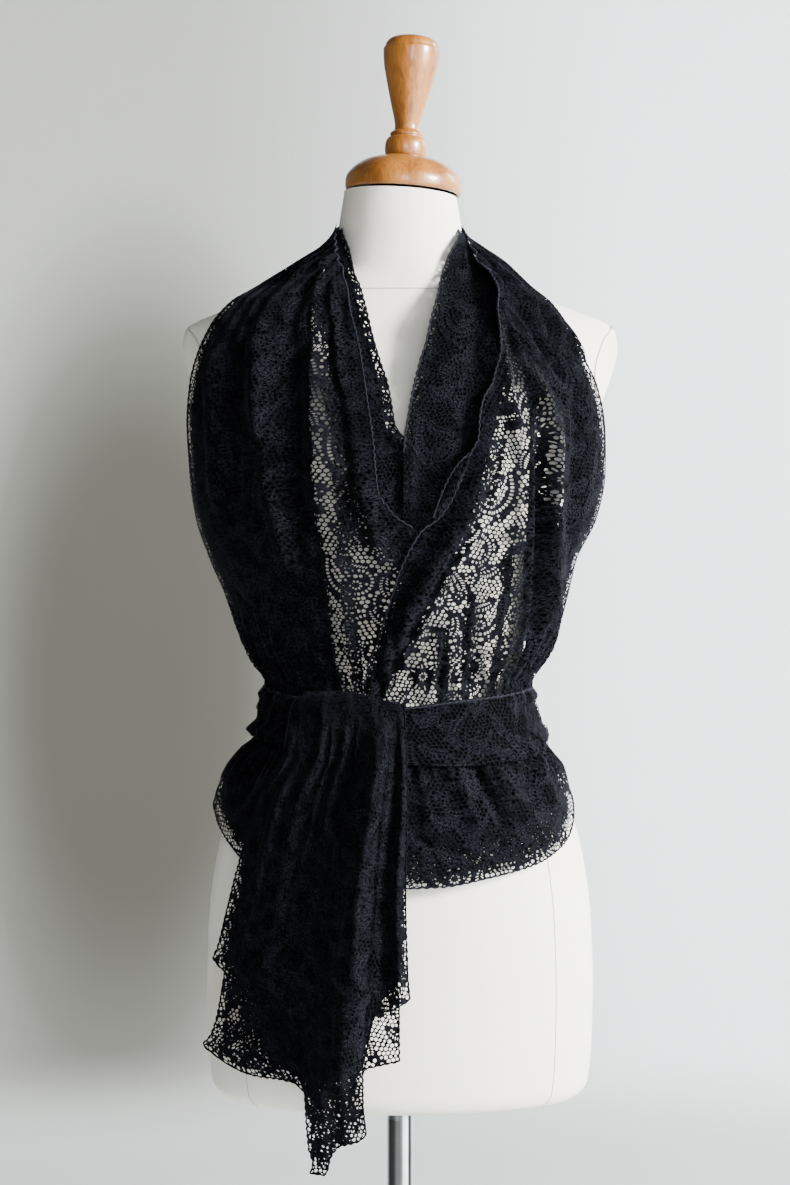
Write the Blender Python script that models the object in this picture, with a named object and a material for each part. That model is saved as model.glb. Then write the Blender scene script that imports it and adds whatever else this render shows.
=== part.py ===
"""A lace shawl worn as a halter wrap on a limbless dress form that stands on a round base.

Sizes in the tables are millimetres and become metres where a mesh is written. +X is the viewer's
right from the front, -Y is the front, +Z is up. The origin is under the middle of the base plate.
"""
import math
from collections import namedtuple

import bpy
from mathutils import Matrix, Vector

MILLIMETRE = 0.001

# Stand
BASE_RADIUS = 190.0
BASE_THICKNESS = 9.0
BASE_CHAMFER = 2.0
BASE_SIDES = 40
SOCKET_RADIUS = 24.0
SOCKET_HEIGHT = 46.0
SOCKET_FOOT = 12.0
SOCKET_FOOT_HEIGHT = 3.0
SOCKET_SHOULDER = 8.0
SOCKET_CHAMFER = 3.0
POLE_RADIUS = 12.0
FLANGE_RADIUS = 46.0
FLANGE_THICKNESS = 5.0
FLANGE_CHAMFER = 2.0
METAL_SIDES = 24
SEAT_GAP = 0.3

# Dress form
FORM_BOTTOM = 636.0
FORM_TOP = 1470.3
FORM_SIDES = 26
FORM_LONGEST_STEP = 60.0
NECK_CUT_START = 1445.0
CAP_TILT_DEGREES = 3.5
CAP_CENTRE_X = 3.0
CAP_SIDES = 24
FINIAL_SIDES = 20

# Shawl
CLOTH = 1.5
SASH_CLOTH = 2.5
BAND_CLOTH = 2.4
NECK_TIP_HEIGHT = 1442.0
PANEL_BOTTOM = 1006.0
COWL_BOTTOM = 1155.0
COWL_CROSSING_DEPTH = 14.0
PEPLUM_TOP = 976.0
FRONT_COLUMNS = 14
LEFT_UNDER_LIFT = -2.6
LEFT_UNDER_ACROSS = (0.72, 0.92)
SASH_ROWS = 7
SASH_LIFT = 2.9
SASH_FLARE = 4.5
SASH_FLARE_FROM = 0.62
SASH_TOP_FLARE = 0.2
PEPLUM_COLUMNS = 15
PEPLUM_ROWS = 8
PEPLUM_LIFT = 0.3
PEPLUM_SPLIT_GAP = 0.35
PEPLUM_SHORTEST = 5.0
BAND_COLUMNS = 18
BAND_ROWS = 4
BAND_LIFT = 3.0
BAND_START = 3.0
BAND_END_DEPTH = 15.0
BAND_DEPTH = 40.0
BAND_PLEAT = 0.9
COWL_CLOTH = 1.2
COWL_COLUMNS = 6
COWL_OVERLAP = 16.0
COWL_TOP_OVERLAP = 1.0
COWL_LOWER_REACH = 40.0
COWL_LOWER_FROM = 1190.0
COWL_NARROWS_FROM = 1376.0
COWL_LIFT = -8.5
COWL_TOP_LIFT = -3.0
FRONT_TAIL_CELLS = (23, 18)
BACK_TAIL_CELLS = (15, 14)
TIP_CELLS = (6, 9)

FormSection = namedtuple("FormSection", "z half_width front back squareness")
FORM_SECTIONS = (
    FormSection(636, 148, 90, 86, 2.2),
    FormSection(640, 163, 104, 99, 2.2),
    FormSection(652, 173, 111, 106, 2.2),
    FormSection(694, 177, 113, 111, 2.2),
    FormSection(744, 178, 114, 115, 2.2),
    FormSection(803, 176, 112, 118, 2.2),
    FormSection(863, 168, 106, 114, 2.2),
    FormSection(930, 145, 97, 99, 2.1),
    FormSection(980, 123, 90, 83, 2.1),
    FormSection(1030, 112, 86, 72, 2.1),
    FormSection(1080, 120, 96, 79, 2.1),
    FormSection(1130, 136, 110, 91, 2.2),
    FormSection(1200, 152, 122, 102, 2.3),
    FormSection(1240, 162, 114, 104, 2.3),
    FormSection(1270, 183, 100, 101, 2.2),
    FormSection(1300, 195, 85, 95, 2.1),
    FormSection(1325, 201, 73, 87, 2.1),
    FormSection(1342, 199, 65, 79, 2.1),
    FormSection(1352, 186, 62, 73, 2.0),
    FormSection(1364, 154, 59, 67, 2.0),
    FormSection(1376, 120, 55, 62, 2.0),
    FormSection(1388, 88, 53, 58, 2.0),
    FormSection(1400, 65, 52, 56, 2.0),
    FormSection(1420, 58, 51, 54, 2.0),
    FormSection(1445, 55, 50, 52, 2.0),
    FormSection(1470.3, 51, 49, 50, 2.0),
)

# The turned wood, upwards from the seat of the cap.
TurnedPoint = namedtuple("TurnedPoint", "radius height")
CAP_PROFILE = (
    TurnedPoint(49.5, 0), TurnedPoint(52.2, 0.8), TurnedPoint(53.8, 2.4), TurnedPoint(54.3, 5.5),
    TurnedPoint(54.2, 9.5), TurnedPoint(52.8, 14), TurnedPoint(48.8, 19.6), TurnedPoint(43.7, 24.1),
    TurnedPoint(38.7, 27.3), TurnedPoint(28, 31.2), TurnedPoint(20.5, 33.2),
)
FINIAL_PROFILE = (
    TurnedPoint(17.6, 33.5), TurnedPoint(18.8, 36.5), TurnedPoint(19.5, 43), TurnedPoint(18.6, 48.5),
    TurnedPoint(15.6, 51.5), TurnedPoint(15.3, 54.8), TurnedPoint(11.7, 57.6), TurnedPoint(11.6, 61),
    TurnedPoint(15.7, 78.8), TurnedPoint(20.8, 99), TurnedPoint(25, 117), TurnedPoint(26.2, 127),
    TurnedPoint(26.3, 133.5), TurnedPoint(23, 140), TurnedPoint(4, 145.5),
)

# The draped cloth's own section at each height: how far it reaches to the left, the right and the
# front, how deep its side edges curve round to the back, and where along Y it is widest.
DrapeSection = namedtuple("DrapeSection", "z left right front back widest_y")
DRAPE_SECTIONS = (
    DrapeSection(1442, 59, 58.5, 57, 58, 2),
    DrapeSection(1434, 62, 60, 59, 60, 0),
    DrapeSection(1421, 72, 74, 60, 60, -2),
    DrapeSection(1404, 97, 94, 61, 60, -5),
    DrapeSection(1383, 130, 118, 71, 60, -12),
    DrapeSection(1366, 153, 136, 85, 60, -34),
    DrapeSection(1341, 171, 151, 100, 60, -53),
    DrapeSection(1312, 184, 165, 111, 62, -56),
    DrapeSection(1290, 190, 177, 118, 66, -52),
    DrapeSection(1251, 194, 186, 131, 72, -42),
    DrapeSection(1210, 193, 188, 139, 78, -20),
    DrapeSection(1170, 188, 181, 141, 82, -10),
    DrapeSection(1133, 176, 164, 136, 86, -2),
    DrapeSection(1098, 161, 155, 126, 88, 0),
    DrapeSection(1063, 148, 144, 115, 88, 0),
    DrapeSection(1038, 136, 133, 107, 86, 0),
    DrapeSection(1020, 124, 121, 103, 84, 0),
    DrapeSection(1003, 125, 121, 106, 87, 0),
    DrapeSection(985, 129, 126, 111, 92, 0),
    DrapeSection(968, 134, 130, 117, 100, 0),
    DrapeSection(955, 147, 139, 124, 107, 0),
    DrapeSection(940, 160, 151, 132, 116, 0),
    DrapeSection(916, 170, 157, 138, 124, 0),
    DrapeSection(895, 172, 162, 138, 128, 0),
    DrapeSection(868, 173, 169, 133, 130, 0),
    DrapeSection(838, 174, 172, 125, 130, 0),
)

# How far each front panel wraps round, as an angle from straight ahead.
WrapAngle = namedtuple("WrapAngle", "z degrees")
PANEL_WRAP = (
    WrapAngle(1442, 97),
    WrapAngle(1404, 93),
    WrapAngle(1341, 88),
    WrapAngle(1251, 92),
    WrapAngle(1170, 102),
    WrapAngle(1098, 114),
    WrapAngle(1020, 124),
    WrapAngle(1006, 125),
)

# Edges that run down the front, as X at each height.
EdgePoint = namedtuple("EdgePoint", "z x")
LEFT_NECKLINE = (
    EdgePoint(1442, -57.5), EdgePoint(1430, -55), EdgePoint(1411, -48.5), EdgePoint(1390, -44.5),
    EdgePoint(1378, -39), EdgePoint(1356, -32.5), EdgePoint(1330, -26), EdgePoint(1305, -18.5),
    EdgePoint(1284, -11.5), EdgePoint(1245, -4.5), EdgePoint(1223, 0.8), EdgePoint(1130, 1.5),
)
RIGHT_NECKLINE = (
    EdgePoint(1442, 57), EdgePoint(1427, 56), EdgePoint(1405, 46.5), EdgePoint(1388, 40.5),
    EdgePoint(1368, 36), EdgePoint(1346, 29.5), EdgePoint(1324, 24.5), EdgePoint(1306, 18.5),
    EdgePoint(1281, 12), EdgePoint(1257, 7.5), EdgePoint(1230, 3.5), EdgePoint(1130, 2.2),
)
LEFT_HEM = (
    EdgePoint(1442, -58), EdgePoint(1430, -59.5), EdgePoint(1411, -58), EdgePoint(1390, -51.5),
    EdgePoint(1352, -44), EdgePoint(1316, -36), EdgePoint(1270, -29), EdgePoint(1234, -24),
    EdgePoint(1210, -22), EdgePoint(1186, -19), EdgePoint(1177, -12.5), EdgePoint(1168, -5.5),
    EdgePoint(1157, 11), EdgePoint(1152, 20), EdgePoint(1120, 18), EdgePoint(1080, 5),
    EdgePoint(1040, -10), EdgePoint(1006, -18),
)
RIGHT_HEM = (
    EdgePoint(1442, 58), EdgePoint(1424, 63), EdgePoint(1389, 73), EdgePoint(1354, 80),
    EdgePoint(1305, 84), EdgePoint(1288, 82), EdgePoint(1272, 73), EdgePoint(1255, 69),
    EdgePoint(1237, 67), EdgePoint(1222, 60), EdgePoint(1184, 45.5), EdgePoint(1164, 32),
    EdgePoint(1155, 19), EdgePoint(1120, 0), EdgePoint(1104, -5.5), EdgePoint(1064, -17.5),
    EdgePoint(1025, -30.5), EdgePoint(1006, -33),
)

RowBand = namedtuple("RowBand", "top bottom rows")
PANEL_ROWS = (
    RowBand(1442, 1376, 6),
    RowBand(1376, 1186, 12),
    RowBand(1186, 1150, 4),
    RowBand(1150, 1042, 6),
    RowBand(1042, 1006, 3),
)
COWL_ROWS = (
    RowBand(1432, 1376, 4),
    RowBand(1376, 1216, 7),
    RowBand(1216, 1138, 3),
)

# A fold runs down a panel, from one place across it to another. Across goes from 0 at the outer
# edge to 1 at the inner one, down goes from 0 at the top to 1 at the bottom. A negative height is
# a trough.
Fold = namedtuple("Fold", "across_top across_bottom down_from down_to half_width height")
LEFT_FOLDS = (
    Fold(0.20, 0.16, 0.04, 0.80, 0.050, 4.5),
    Fold(0.42, 0.36, 0.02, 0.98, 0.055, 7.0),
    Fold(0.58, 0.52, 0.06, 0.90, 0.040, -4.0),
    Fold(0.74, 0.66, 0.03, 0.96, 0.055, 6.0),
    Fold(0.90, 0.80, 0.25, 0.98, 0.040, -3.5),
)
RIGHT_FOLDS = (
    Fold(0.14, 0.10, 0.03, 0.90, 0.045, 5.5),
    Fold(0.28, 0.22, 0.06, 0.70, 0.040, -3.5),
    Fold(0.42, 0.34, 0.01, 0.98, 0.045, 7.0),
    Fold(0.60, 0.46, 0.10, 0.60, 0.045, -3.5),
    Fold(0.78, 0.56, 0.01, 0.95, 0.050, 6.5),
)


# The folds of both fronts grow below the neck and fade out at the sash, as shares of the way down.
FOLDS_FULL_FROM = 0.10
FOLDS_FADE_FROM = 0.90
FOLDS_GONE_BY = 0.97

# The broad roll that runs from the cowl down to the left under the sash.
RollPoint = namedtuple("RollPoint", "z x")
ROLL_LINE = (
    RollPoint(1290, 92), RollPoint(1225, 74), RollPoint(1181, 62), RollPoint(1147, 45),
    RollPoint(1112, 23), RollPoint(1077, 6), RollPoint(1047, -9), RollPoint(1006, -22),
)
ROLL_HALF_WIDTH = 15.0
ROLL_HEIGHT = 9.0
ROLL_GONE_ABOVE_SASH = 16.0
ROLL_FULL_ABOVE_SASH = 55.0

# The sash's two edges, by the angle round the waist.
SashEdge = namedtuple("SashEdge", "degrees top bottom")
SASH_EDGES = (
    SashEdge(-180, 1009, 955), SashEdge(-120, 1012, 962), SashEdge(-90, 1016, 972),
    SashEdge(-55, 1010, 965), SashEdge(-25, 1003, 955), SashEdge(0, 1000, 951),
    SashEdge(22, 1005, 949), SashEdge(50, 1010, 953), SashEdge(90, 1015, 966),
    SashEdge(120, 1012, 962), SashEdge(180, 1009, 955),
)
SashFold = namedtuple("SashFold", "at width height")
SASH_FOLDS = (
    SashFold(0.22, 0.09, 2.0),
    SashFold(0.50, 0.08, 1.6),
    SashFold(0.78, 0.10, 2.2),
)

# The sash is parted at both sides, by the angle round the waist.
SashPart = namedtuple("SashPart", "name start end columns")
SASH_PARTS = (
    SashPart("sash_front", -112, 112, 26),
    SashPart("sash_back", 112.35, 247.65, 14),
)

# The lower edge of the cloth below the sash, by the angle round the hips.
HemHeight = namedtuple("HemHeight", "degrees z")
PEPLUM_HEM = (
    HemHeight(-125, 962), HemHeight(-112, 946), HemHeight(-99, 928), HemHeight(-88, 910),
    HemHeight(-79, 900), HemHeight(-66, 880), HemHeight(-55, 864), HemHeight(-30, 850),
    HemHeight(0, 842), HemHeight(12, 843), HemHeight(27, 850), HemHeight(45, 860),
    HemHeight(60, 873), HemHeight(75, 892), HemHeight(88, 911), HemHeight(99, 926),
    HemHeight(112, 944), HemHeight(125, 962),
)
PEPLUM_SPLIT_DEGREES = 1.5
PEPLUM_FOLDS = (
    Fold(0.30, 0.22, 0.05, 0.95, 0.060, 6.0),
    Fold(0.52, 0.62, 0.05, 0.85, 0.050, -5.5),
    Fold(0.76, 0.82, 0.05, 0.90, 0.060, 5.0),
)

# The tail hangs in front of the sash in three layers. Each outline gives X down its left and
# right sides and the height of its hem from left to right.
TailSection = namedtuple("TailSection", "z reach front")
TAIL_SECTIONS = (
    TailSection(1014, 125.1, 104.9), TailSection(1009, 132, 112), TailSection(1003, 136, 116.5),
    TailSection(985, 142, 123), TailSection(962, 160, 136), TailSection(940, 172, 143),
    TailSection(916, 182, 148), TailSection(868, 190, 149), TailSection(750, 198, 147),
    TailSection(690, 198, 143), TailSection(590, 198, 139),
)
HemPoint = namedtuple("HemPoint", "across z")
FRONT_TAIL_TOP = (
    HemPoint(0.00, 1013), HemPoint(0.50, 1014), HemPoint(1.00, 1004),
)
BACK_TAIL_TOP = (
    HemPoint(0.00, 862), HemPoint(1.00, 862),
)
TIP_TOP = (
    HemPoint(0.00, 700), HemPoint(1.00, 700),
)
FRONT_TAIL_LEFT = (
    EdgePoint(1014, -84), EdgePoint(1000, -97), EdgePoint(958, -104), EdgePoint(928, -122),
    EdgePoint(881, -137), EdgePoint(850, -146), EdgePoint(819, -154), EdgePoint(784, -163),
    EdgePoint(774, -167), EdgePoint(758, -157), EdgePoint(680, -146),
)
FRONT_TAIL_RIGHT = (
    EdgePoint(1014, -4), EdgePoint(1002, 3.5), EdgePoint(921, 6), EdgePoint(841, 4.5),
    EdgePoint(767, 6.5), EdgePoint(748, 8), EdgePoint(742, 4), EdgePoint(680, -2),
)
FRONT_TAIL_HEM = (
    HemPoint(0.00, 774), HemPoint(0.06, 758), HemPoint(0.20, 757), HemPoint(0.32, 742),
    HemPoint(0.42, 710), HemPoint(0.50, 676), HemPoint(0.64, 668), HemPoint(0.72, 676),
    HemPoint(0.79, 694), HemPoint(0.84, 734), HemPoint(0.92, 739), HemPoint(1.00, 748),
)
FRONT_TAIL_FOLDS = (
    Fold(0.08, 0.10, 0.30, 1.00, 0.060, 9.0),
    Fold(0.30, 0.26, 0.02, 0.98, 0.045, 10.0),
    Fold(0.47, 0.46, 0.03, 0.99, 0.045, 9.0),
    Fold(0.76, 0.66, 0.02, 1.00, 0.085, 17.0),
    Fold(0.96, 0.94, 0.02, 1.00, 0.045, 9.0),
)

BACK_TAIL_LEFT = (
    EdgePoint(862, -128), EdgePoint(820, -146), EdgePoint(753, -158), EdgePoint(721, -164),
    EdgePoint(702, -171), EdgePoint(694, -177), EdgePoint(682, -168), EdgePoint(655, -150),
)
BACK_TAIL_RIGHT = (
    EdgePoint(862, -14), EdgePoint(780, -5), EdgePoint(734, -1), EdgePoint(697, -1),
    EdgePoint(655, -3),
)
BACK_TAIL_HEM = (
    HemPoint(0.00, 692), HemPoint(0.08, 681), HemPoint(0.20, 674), HemPoint(0.42, 671),
    HemPoint(0.47, 662), HemPoint(0.52, 656), HemPoint(0.60, 672), HemPoint(0.80, 684),
    HemPoint(0.90, 689), HemPoint(1.00, 692),
)
BACK_TAIL_FOLDS = (
    Fold(0.18, 0.14, 0.30, 1.00, 0.060, 4.0),
    Fold(0.42, 0.34, 0.40, 1.00, 0.050, -3.0),
    Fold(0.90, 0.88, 0.30, 1.00, 0.050, 3.0),
)
BACK_TAIL_SET_BACK = 9.0
BACK_TAIL_SEAT = 2.0
TAIL_SEAT_HEIGHT = 26.0

TIP_LEFT = (
    EdgePoint(700, -86), EdgePoint(658, -83.5), EdgePoint(636, -82), EdgePoint(614, -80),
    EdgePoint(601, -76.5), EdgePoint(592, -79),
)
TIP_RIGHT = (
    EdgePoint(700, -33), EdgePoint(655, -32.5), EdgePoint(630, -30), EdgePoint(592, -28),
)
TIP_HEM = (
    HemPoint(0.00, 592), HemPoint(0.26, 592), HemPoint(0.30, 603), HemPoint(0.42, 612),
    HemPoint(0.55, 618), HemPoint(0.85, 622), HemPoint(1.00, 628),
)
TIP_SET_BACK = 4.5
TIP_SEAT = 1.7
TAIL_ROW_SPREAD = 1.4

# The largest gaps of the lace repeat, cut as six-sided holes in chosen cells of a wall's grid.
GapField = namedtuple("GapField", "across_from across_to down_from down_to step_across step_down")
FRONT_LEFT_GAPS = (GapField(0.70, 0.94, 0.30, 0.92, 2, 2),)
FRONT_RIGHT_GAPS = (GapField(0.40, 0.92, 0.24, 0.56, 2, 2), GapField(0.30, 0.72, 0.58, 0.94, 2, 2))
PEPLUM_GAPS = (GapField(0.10, 0.92, 0.20, 0.92, 2, 2),)
BACK_TAIL_GAPS = (GapField(0.04, 0.96, 0.62, 0.96, 2, 1),)
TIP_GAPS = (GapField(0.10, 0.90, 0.40, 0.92, 2, 2),)
GAP_CORNERS = ((0.5, 0.18), (0.76, 0.36), (0.76, 0.64), (0.5, 0.82), (0.24, 0.64), (0.24, 0.36))

Finish = namedtuple("Finish", "red green blue roughness metallic")
FINISHES = {
    "lace": Finish(0.018, 0.019, 0.028, 0.85, 0.0),
    "linen": Finish(0.78, 0.76, 0.71, 0.9, 0.0),
    "oak": Finish(0.58, 0.29, 0.10, 0.3, 0.0),
    "chrome": Finish(0.75, 0.76, 0.78, 0.15, 1.0),
    "base_steel": Finish(0.82, 0.82, 0.80, 0.45, 0.0),
}


def material(name):
    """The named finish as a material, made once."""
    found = bpy.data.materials.get(name)
    if found:
        return found
    finish = FINISHES[name]
    made = bpy.data.materials.new(name)
    made.use_nodes = True
    shader = made.node_tree.nodes["Principled BSDF"]
    shader.inputs["Base Color"].default_value = (finish.red, finish.green, finish.blue, 1.0)
    shader.inputs["Roughness"].default_value = finish.roughness
    shader.inputs["Metallic"].default_value = finish.metallic
    return made


def add_object(name, vertices, faces, finish):
    """A named object from points in millimetres."""
    mesh = bpy.data.meshes.new(name)
    mesh.from_pydata([Vector(point) * MILLIMETRE for point in vertices], [], faces)
    mesh.validate()
    mesh.shade_smooth()
    made = bpy.data.objects.new(name, mesh)
    made.data.materials.append(material(finish))
    bpy.context.scene.collection.objects.link(made)
    return made


def along(rows, key, value, at):
    """A smooth curve through one column of a table, with no overshoot between its rows."""
    points = sorted((getattr(row, key), getattr(row, value)) for row in rows)
    if at <= points[0][0]:
        return points[0][1]
    if at >= points[-1][0]:
        return points[-1][1]
    slopes = []
    for (x0, y0), (x1, y1) in zip(points, points[1:]):
        slopes.append((y1 - y0) / (x1 - x0))
    tangents = [slopes[0]]
    for before, after in zip(slopes, slopes[1:]):
        tangents.append(0.0 if before * after <= 0 else 2 * before * after / (before + after))
    tangents.append(slopes[-1])
    for n, ((x0, y0), (x1, y1)) in enumerate(zip(points, points[1:])):
        if at <= x1:
            span = x1 - x0
            t = (at - x0) / span
            return (
                (2 * t ** 3 - 3 * t ** 2 + 1) * y0
                + (t ** 3 - 2 * t ** 2 + t) * span * tangents[n]
                + (3 * t ** 2 - 2 * t ** 3) * y1
                + (t ** 3 - t ** 2) * span * tangents[n + 1]
            )
    return points[-1][1]


def ease(low, high, at):
    """0 below low, 1 above high, smooth between."""
    t = min(1.0, max(0.0, (at - low) / (high - low)))
    return t * t * (3 - 2 * t)


def mix(a, b, t):
    return a + (b - a) * t


def band_rows(bands):
    """Heights from the top of the first band to the bottom of the last."""
    heights = [bands[0].top]
    for band in bands:
        for n in range(band.rows):
            heights.append(mix(band.top, band.bottom, (n + 1) / band.rows))
    return heights


def form_point(z, degrees, outward=0.0):
    """A point of the dress form's surface, by height and angle from straight ahead."""
    angle = math.radians(degrees)
    squareness = along(FORM_SECTIONS, "z", "squareness", z)
    half_width = along(FORM_SECTIONS, "z", "half_width", z) + outward
    side = "front" if math.cos(angle) > 0 else "back"
    depth = along(FORM_SECTIONS, "z", side, z) + outward
    x = math.copysign(abs(math.sin(angle)) ** (2 / squareness), math.sin(angle)) * half_width
    y = -math.copysign(abs(math.cos(angle)) ** (2 / squareness), math.cos(angle)) * depth
    return Vector((x, y, z))


def drape_point(z, degrees, outward=0.0):
    """A point of the surface that the draped cloth follows, by height and angle."""
    angle = math.radians(degrees)
    reach = along(DRAPE_SECTIONS, "z", "left" if degrees < 0 else "right", z) + outward
    widest_y = along(DRAPE_SECTIONS, "z", "widest_y", z)
    if math.cos(angle) > 0:
        depth = along(DRAPE_SECTIONS, "z", "front", z) + widest_y + outward
    else:
        depth = along(DRAPE_SECTIONS, "z", "back", z) - widest_y + outward
    return Vector((reach * math.sin(angle), widest_y - depth * math.cos(angle), z))


def drape_angle(z, x):
    """The angle at which the drape's front has the given X."""
    reach = along(DRAPE_SECTIONS, "z", "left" if x < 0 else "right", z)
    return math.degrees(math.asin(max(-1.0, min(1.0, x / reach))))


def fold_height(folds, across, down):
    """The sum of a panel's folds at one place."""
    total = 0.0
    for fold in folds:
        centre = mix(fold.across_top, fold.across_bottom, down)
        distance = (across - centre) / fold.half_width
        if abs(distance) < 2.5:
            fade = ease(fold.down_from, fold.down_from + 0.12, down)
            if fold.down_to < 1:
                fade *= 1 - ease(fold.down_to - 0.15, fold.down_to, down)
            total += fold.height * fade * math.exp(-distance * distance)
    return total


def gap_cells(fields, columns, rows):
    """The cells of a wall's grid that carry a gap, every other one in staggered rows."""
    cells = set()
    for field in fields:
        for row in range(int(field.down_from * rows), int(field.down_to * rows), field.step_down):
            first = int(field.across_from * columns) + (row // field.step_down) % 2
            for column in range(first, int(field.across_to * columns), field.step_across):
                cells.add((column, row))
    return cells


def wall(name, grid, thickness, gaps=frozenset(), outward=1.0):
    """A closed wall of cloth on a grid of points, with six-sided gaps cut through some cells."""
    rows = len(grid)
    columns = len(grid[0])
    vertices = []
    for side in (0.5, -0.5):
        for j in range(rows):
            for i in range(columns):
                over = grid[j][min(i + 1, columns - 1)] - grid[j][max(i - 1, 0)]
                down = grid[min(j + 1, rows - 1)][i] - grid[max(j - 1, 0)][i]
                normal = over.cross(down).normalized() * outward
                vertices.append(grid[j][i] + normal * thickness * side)
    layer = rows * columns
    faces = []

    def corner(i, j, side):
        return side * layer + j * columns + i

    def add(face, side):
        forward = (side == 0) == (outward > 0)
        faces.append(face if forward else face[::-1])

    for j in range(rows - 1):
        for i in range(columns - 1):
            rings = []
            for side in (0, 1):
                a = corner(i, j, side)
                b = corner(i + 1, j, side)
                c = corner(i + 1, j + 1, side)
                d = corner(i, j + 1, side)
                if (i, j) not in gaps:
                    add((a, b, c), side)
                    add((a, c, d), side)
                    continue
                ring = []
                for s, t in GAP_CORNERS:
                    top = mix(vertices[a], vertices[b], s)
                    bottom = mix(vertices[d], vertices[c], s)
                    ring.append(len(vertices))
                    vertices.append(mix(top, bottom, t))
                rings.append(ring)
                v0, v1, v2, v3, v4, v5 = ring
                for face in (
                    (a, b, v0), (b, v1, v0), (a, v0, v5), (b, c, v2), (b, v2, v1),
                    (c, d, v3), (d, v4, v3), (c, v3, v2), (d, a, v5), (d, v5, v4),
                ):
                    add(face, side)
            if rings:
                for n in range(len(GAP_CORNERS)):
                    m = (n + 1) % len(GAP_CORNERS)
                    face = (rings[0][n], rings[0][m], rings[1][m], rings[1][n])
                    add(face, 0)
    border = [(i, 0) for i in range(columns)]
    border += [(columns - 1, j) for j in range(1, rows)]
    border += [(i, rows - 1) for i in range(columns - 2, -1, -1)]
    border += [(0, j) for j in range(rows - 2, 0, -1)]
    for n, (i, j) in enumerate(border):
        k, m = border[(n + 1) % len(border)]
        add((corner(i, j, 0), corner(i, j, 1), corner(k, m, 1), corner(k, m, 0)), 0)
    return add_object(name, vertices, faces, "lace")


def lofted(name, rings, finish):
    """A closed solid through rings of points, with a flat lid at each end."""
    sides = len(rings[0])
    vertices = [point for ring in rings for point in ring]
    faces = []
    for j in range(len(rings) - 1):
        for i in range(sides):
            k = (i + 1) % sides
            faces.append((j * sides + i, j * sides + k, (j + 1) * sides + k, (j + 1) * sides + i))
    faces.append(tuple(range(sides))[::-1])
    faces.append(tuple((len(rings) - 1) * sides + i for i in range(sides)))
    return add_object(name, vertices, faces, finish)


def turned(name, profile, sides, finish, matrix=Matrix.Identity(4)):
    """A turned solid from (radius, height) pairs that rise from its bottom to its top."""
    rings = []
    for radius, height in profile:
        ring = []
        for n in range(sides):
            angle = 2 * math.pi * n / sides
            ring.append(matrix @ Vector((radius * math.cos(angle), radius * math.sin(angle), height)))
        rings.append(ring)
    return lofted(name, rings, finish)


def build_stand():
    """A round weighted base, a socket, a straight pole and a flange under the form."""
    turned("stand_base", (
        (BASE_RADIUS, 0), (BASE_RADIUS, BASE_THICKNESS - BASE_CHAMFER),
        (BASE_RADIUS - BASE_CHAMFER, BASE_THICKNESS),
    ), BASE_SIDES, "base_steel")
    socket_bottom = BASE_THICKNESS + SEAT_GAP
    socket_top = socket_bottom + SOCKET_HEIGHT
    foot_radius = SOCKET_RADIUS + SOCKET_FOOT
    turned("stand_socket", (
        (foot_radius, socket_bottom), (foot_radius, socket_bottom + SOCKET_FOOT_HEIGHT),
        (SOCKET_RADIUS, socket_bottom + SOCKET_SHOULDER), (SOCKET_RADIUS, socket_top - SOCKET_CHAMFER),
        (SOCKET_RADIUS - SOCKET_CHAMFER, socket_top),
    ), METAL_SIDES, "chrome")
    flange_top = FORM_BOTTOM - SEAT_GAP
    flange_bottom = flange_top - FLANGE_THICKNESS
    turned("stand_pole", (
        (POLE_RADIUS, socket_top + SEAT_GAP), (POLE_RADIUS, flange_bottom - SEAT_GAP),
    ), METAL_SIDES, "chrome")
    turned("stand_flange", (
        (FLANGE_RADIUS - FLANGE_CHAMFER, flange_bottom), (FLANGE_RADIUS, flange_bottom + FLANGE_CHAMFER),
        (FLANGE_RADIUS, flange_top),
    ), METAL_SIDES, "chrome")


def cap_matrix():
    """The place of the wooden cap, tilted a little to the viewer's right."""
    tilt = Matrix.Rotation(math.radians(CAP_TILT_DEGREES), 4, "Y")
    return Matrix.Translation((CAP_CENTRE_X, 0, FORM_TOP + SEAT_GAP)) @ tilt


def build_form():
    """The linen torso with its neck, cut square to the tilted cap at the top."""
    heights = []
    for lower, upper in zip(FORM_SECTIONS, FORM_SECTIONS[1:]):
        heights.append(lower.z)
        if upper.z - lower.z > FORM_LONGEST_STEP:
            heights.append((lower.z + upper.z) / 2)
    heights.append(FORM_SECTIONS[-1].z)
    slope = math.tan(math.radians(CAP_TILT_DEGREES))
    rings = []
    for z in heights:
        tilt = slope * ease(NECK_CUT_START, FORM_TOP, z)
        ring = []
        for n in range(FORM_SIDES):
            point = form_point(z, 360.0 * n / FORM_SIDES)
            point.z -= (point.x - CAP_CENTRE_X) * tilt
            ring.append(point)
        rings.append(ring)
    lofted("form_body", rings, "linen")


def build_cap():
    """The turned wooden neck cap and the finial on it."""
    place = cap_matrix()
    turned("neck_cap", CAP_PROFILE, CAP_SIDES, "oak", place)
    turned("finial", FINIAL_PROFILE, FINIAL_SIDES, "oak", place)


def panel_grid(heights, columns, inner_edge, side, lift, folds):
    """Rows of points across one front panel, from its outer edge to its inner edge."""
    grid = []
    for z in heights:
        down = (heights[0] - z) / (heights[0] - heights[-1])
        start = side * along(PANEL_WRAP, "z", "degrees", z)
        end = drape_angle(z, along(inner_edge, "z", "x", z))
        row = []
        for i in range(columns + 1):
            across = i / columns
            rise = fold_height(folds, across, down) * ease(0.0, FOLDS_FULL_FROM, down)
            rise *= 1 - ease(FOLDS_FADE_FROM, FOLDS_GONE_BY, down)
            degrees = mix(start, end, across)
            row.append(drape_point(z, degrees, lift(across, z) + rise + roll_height(z, degrees, side)))
        grid.append(row)
    return grid


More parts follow.
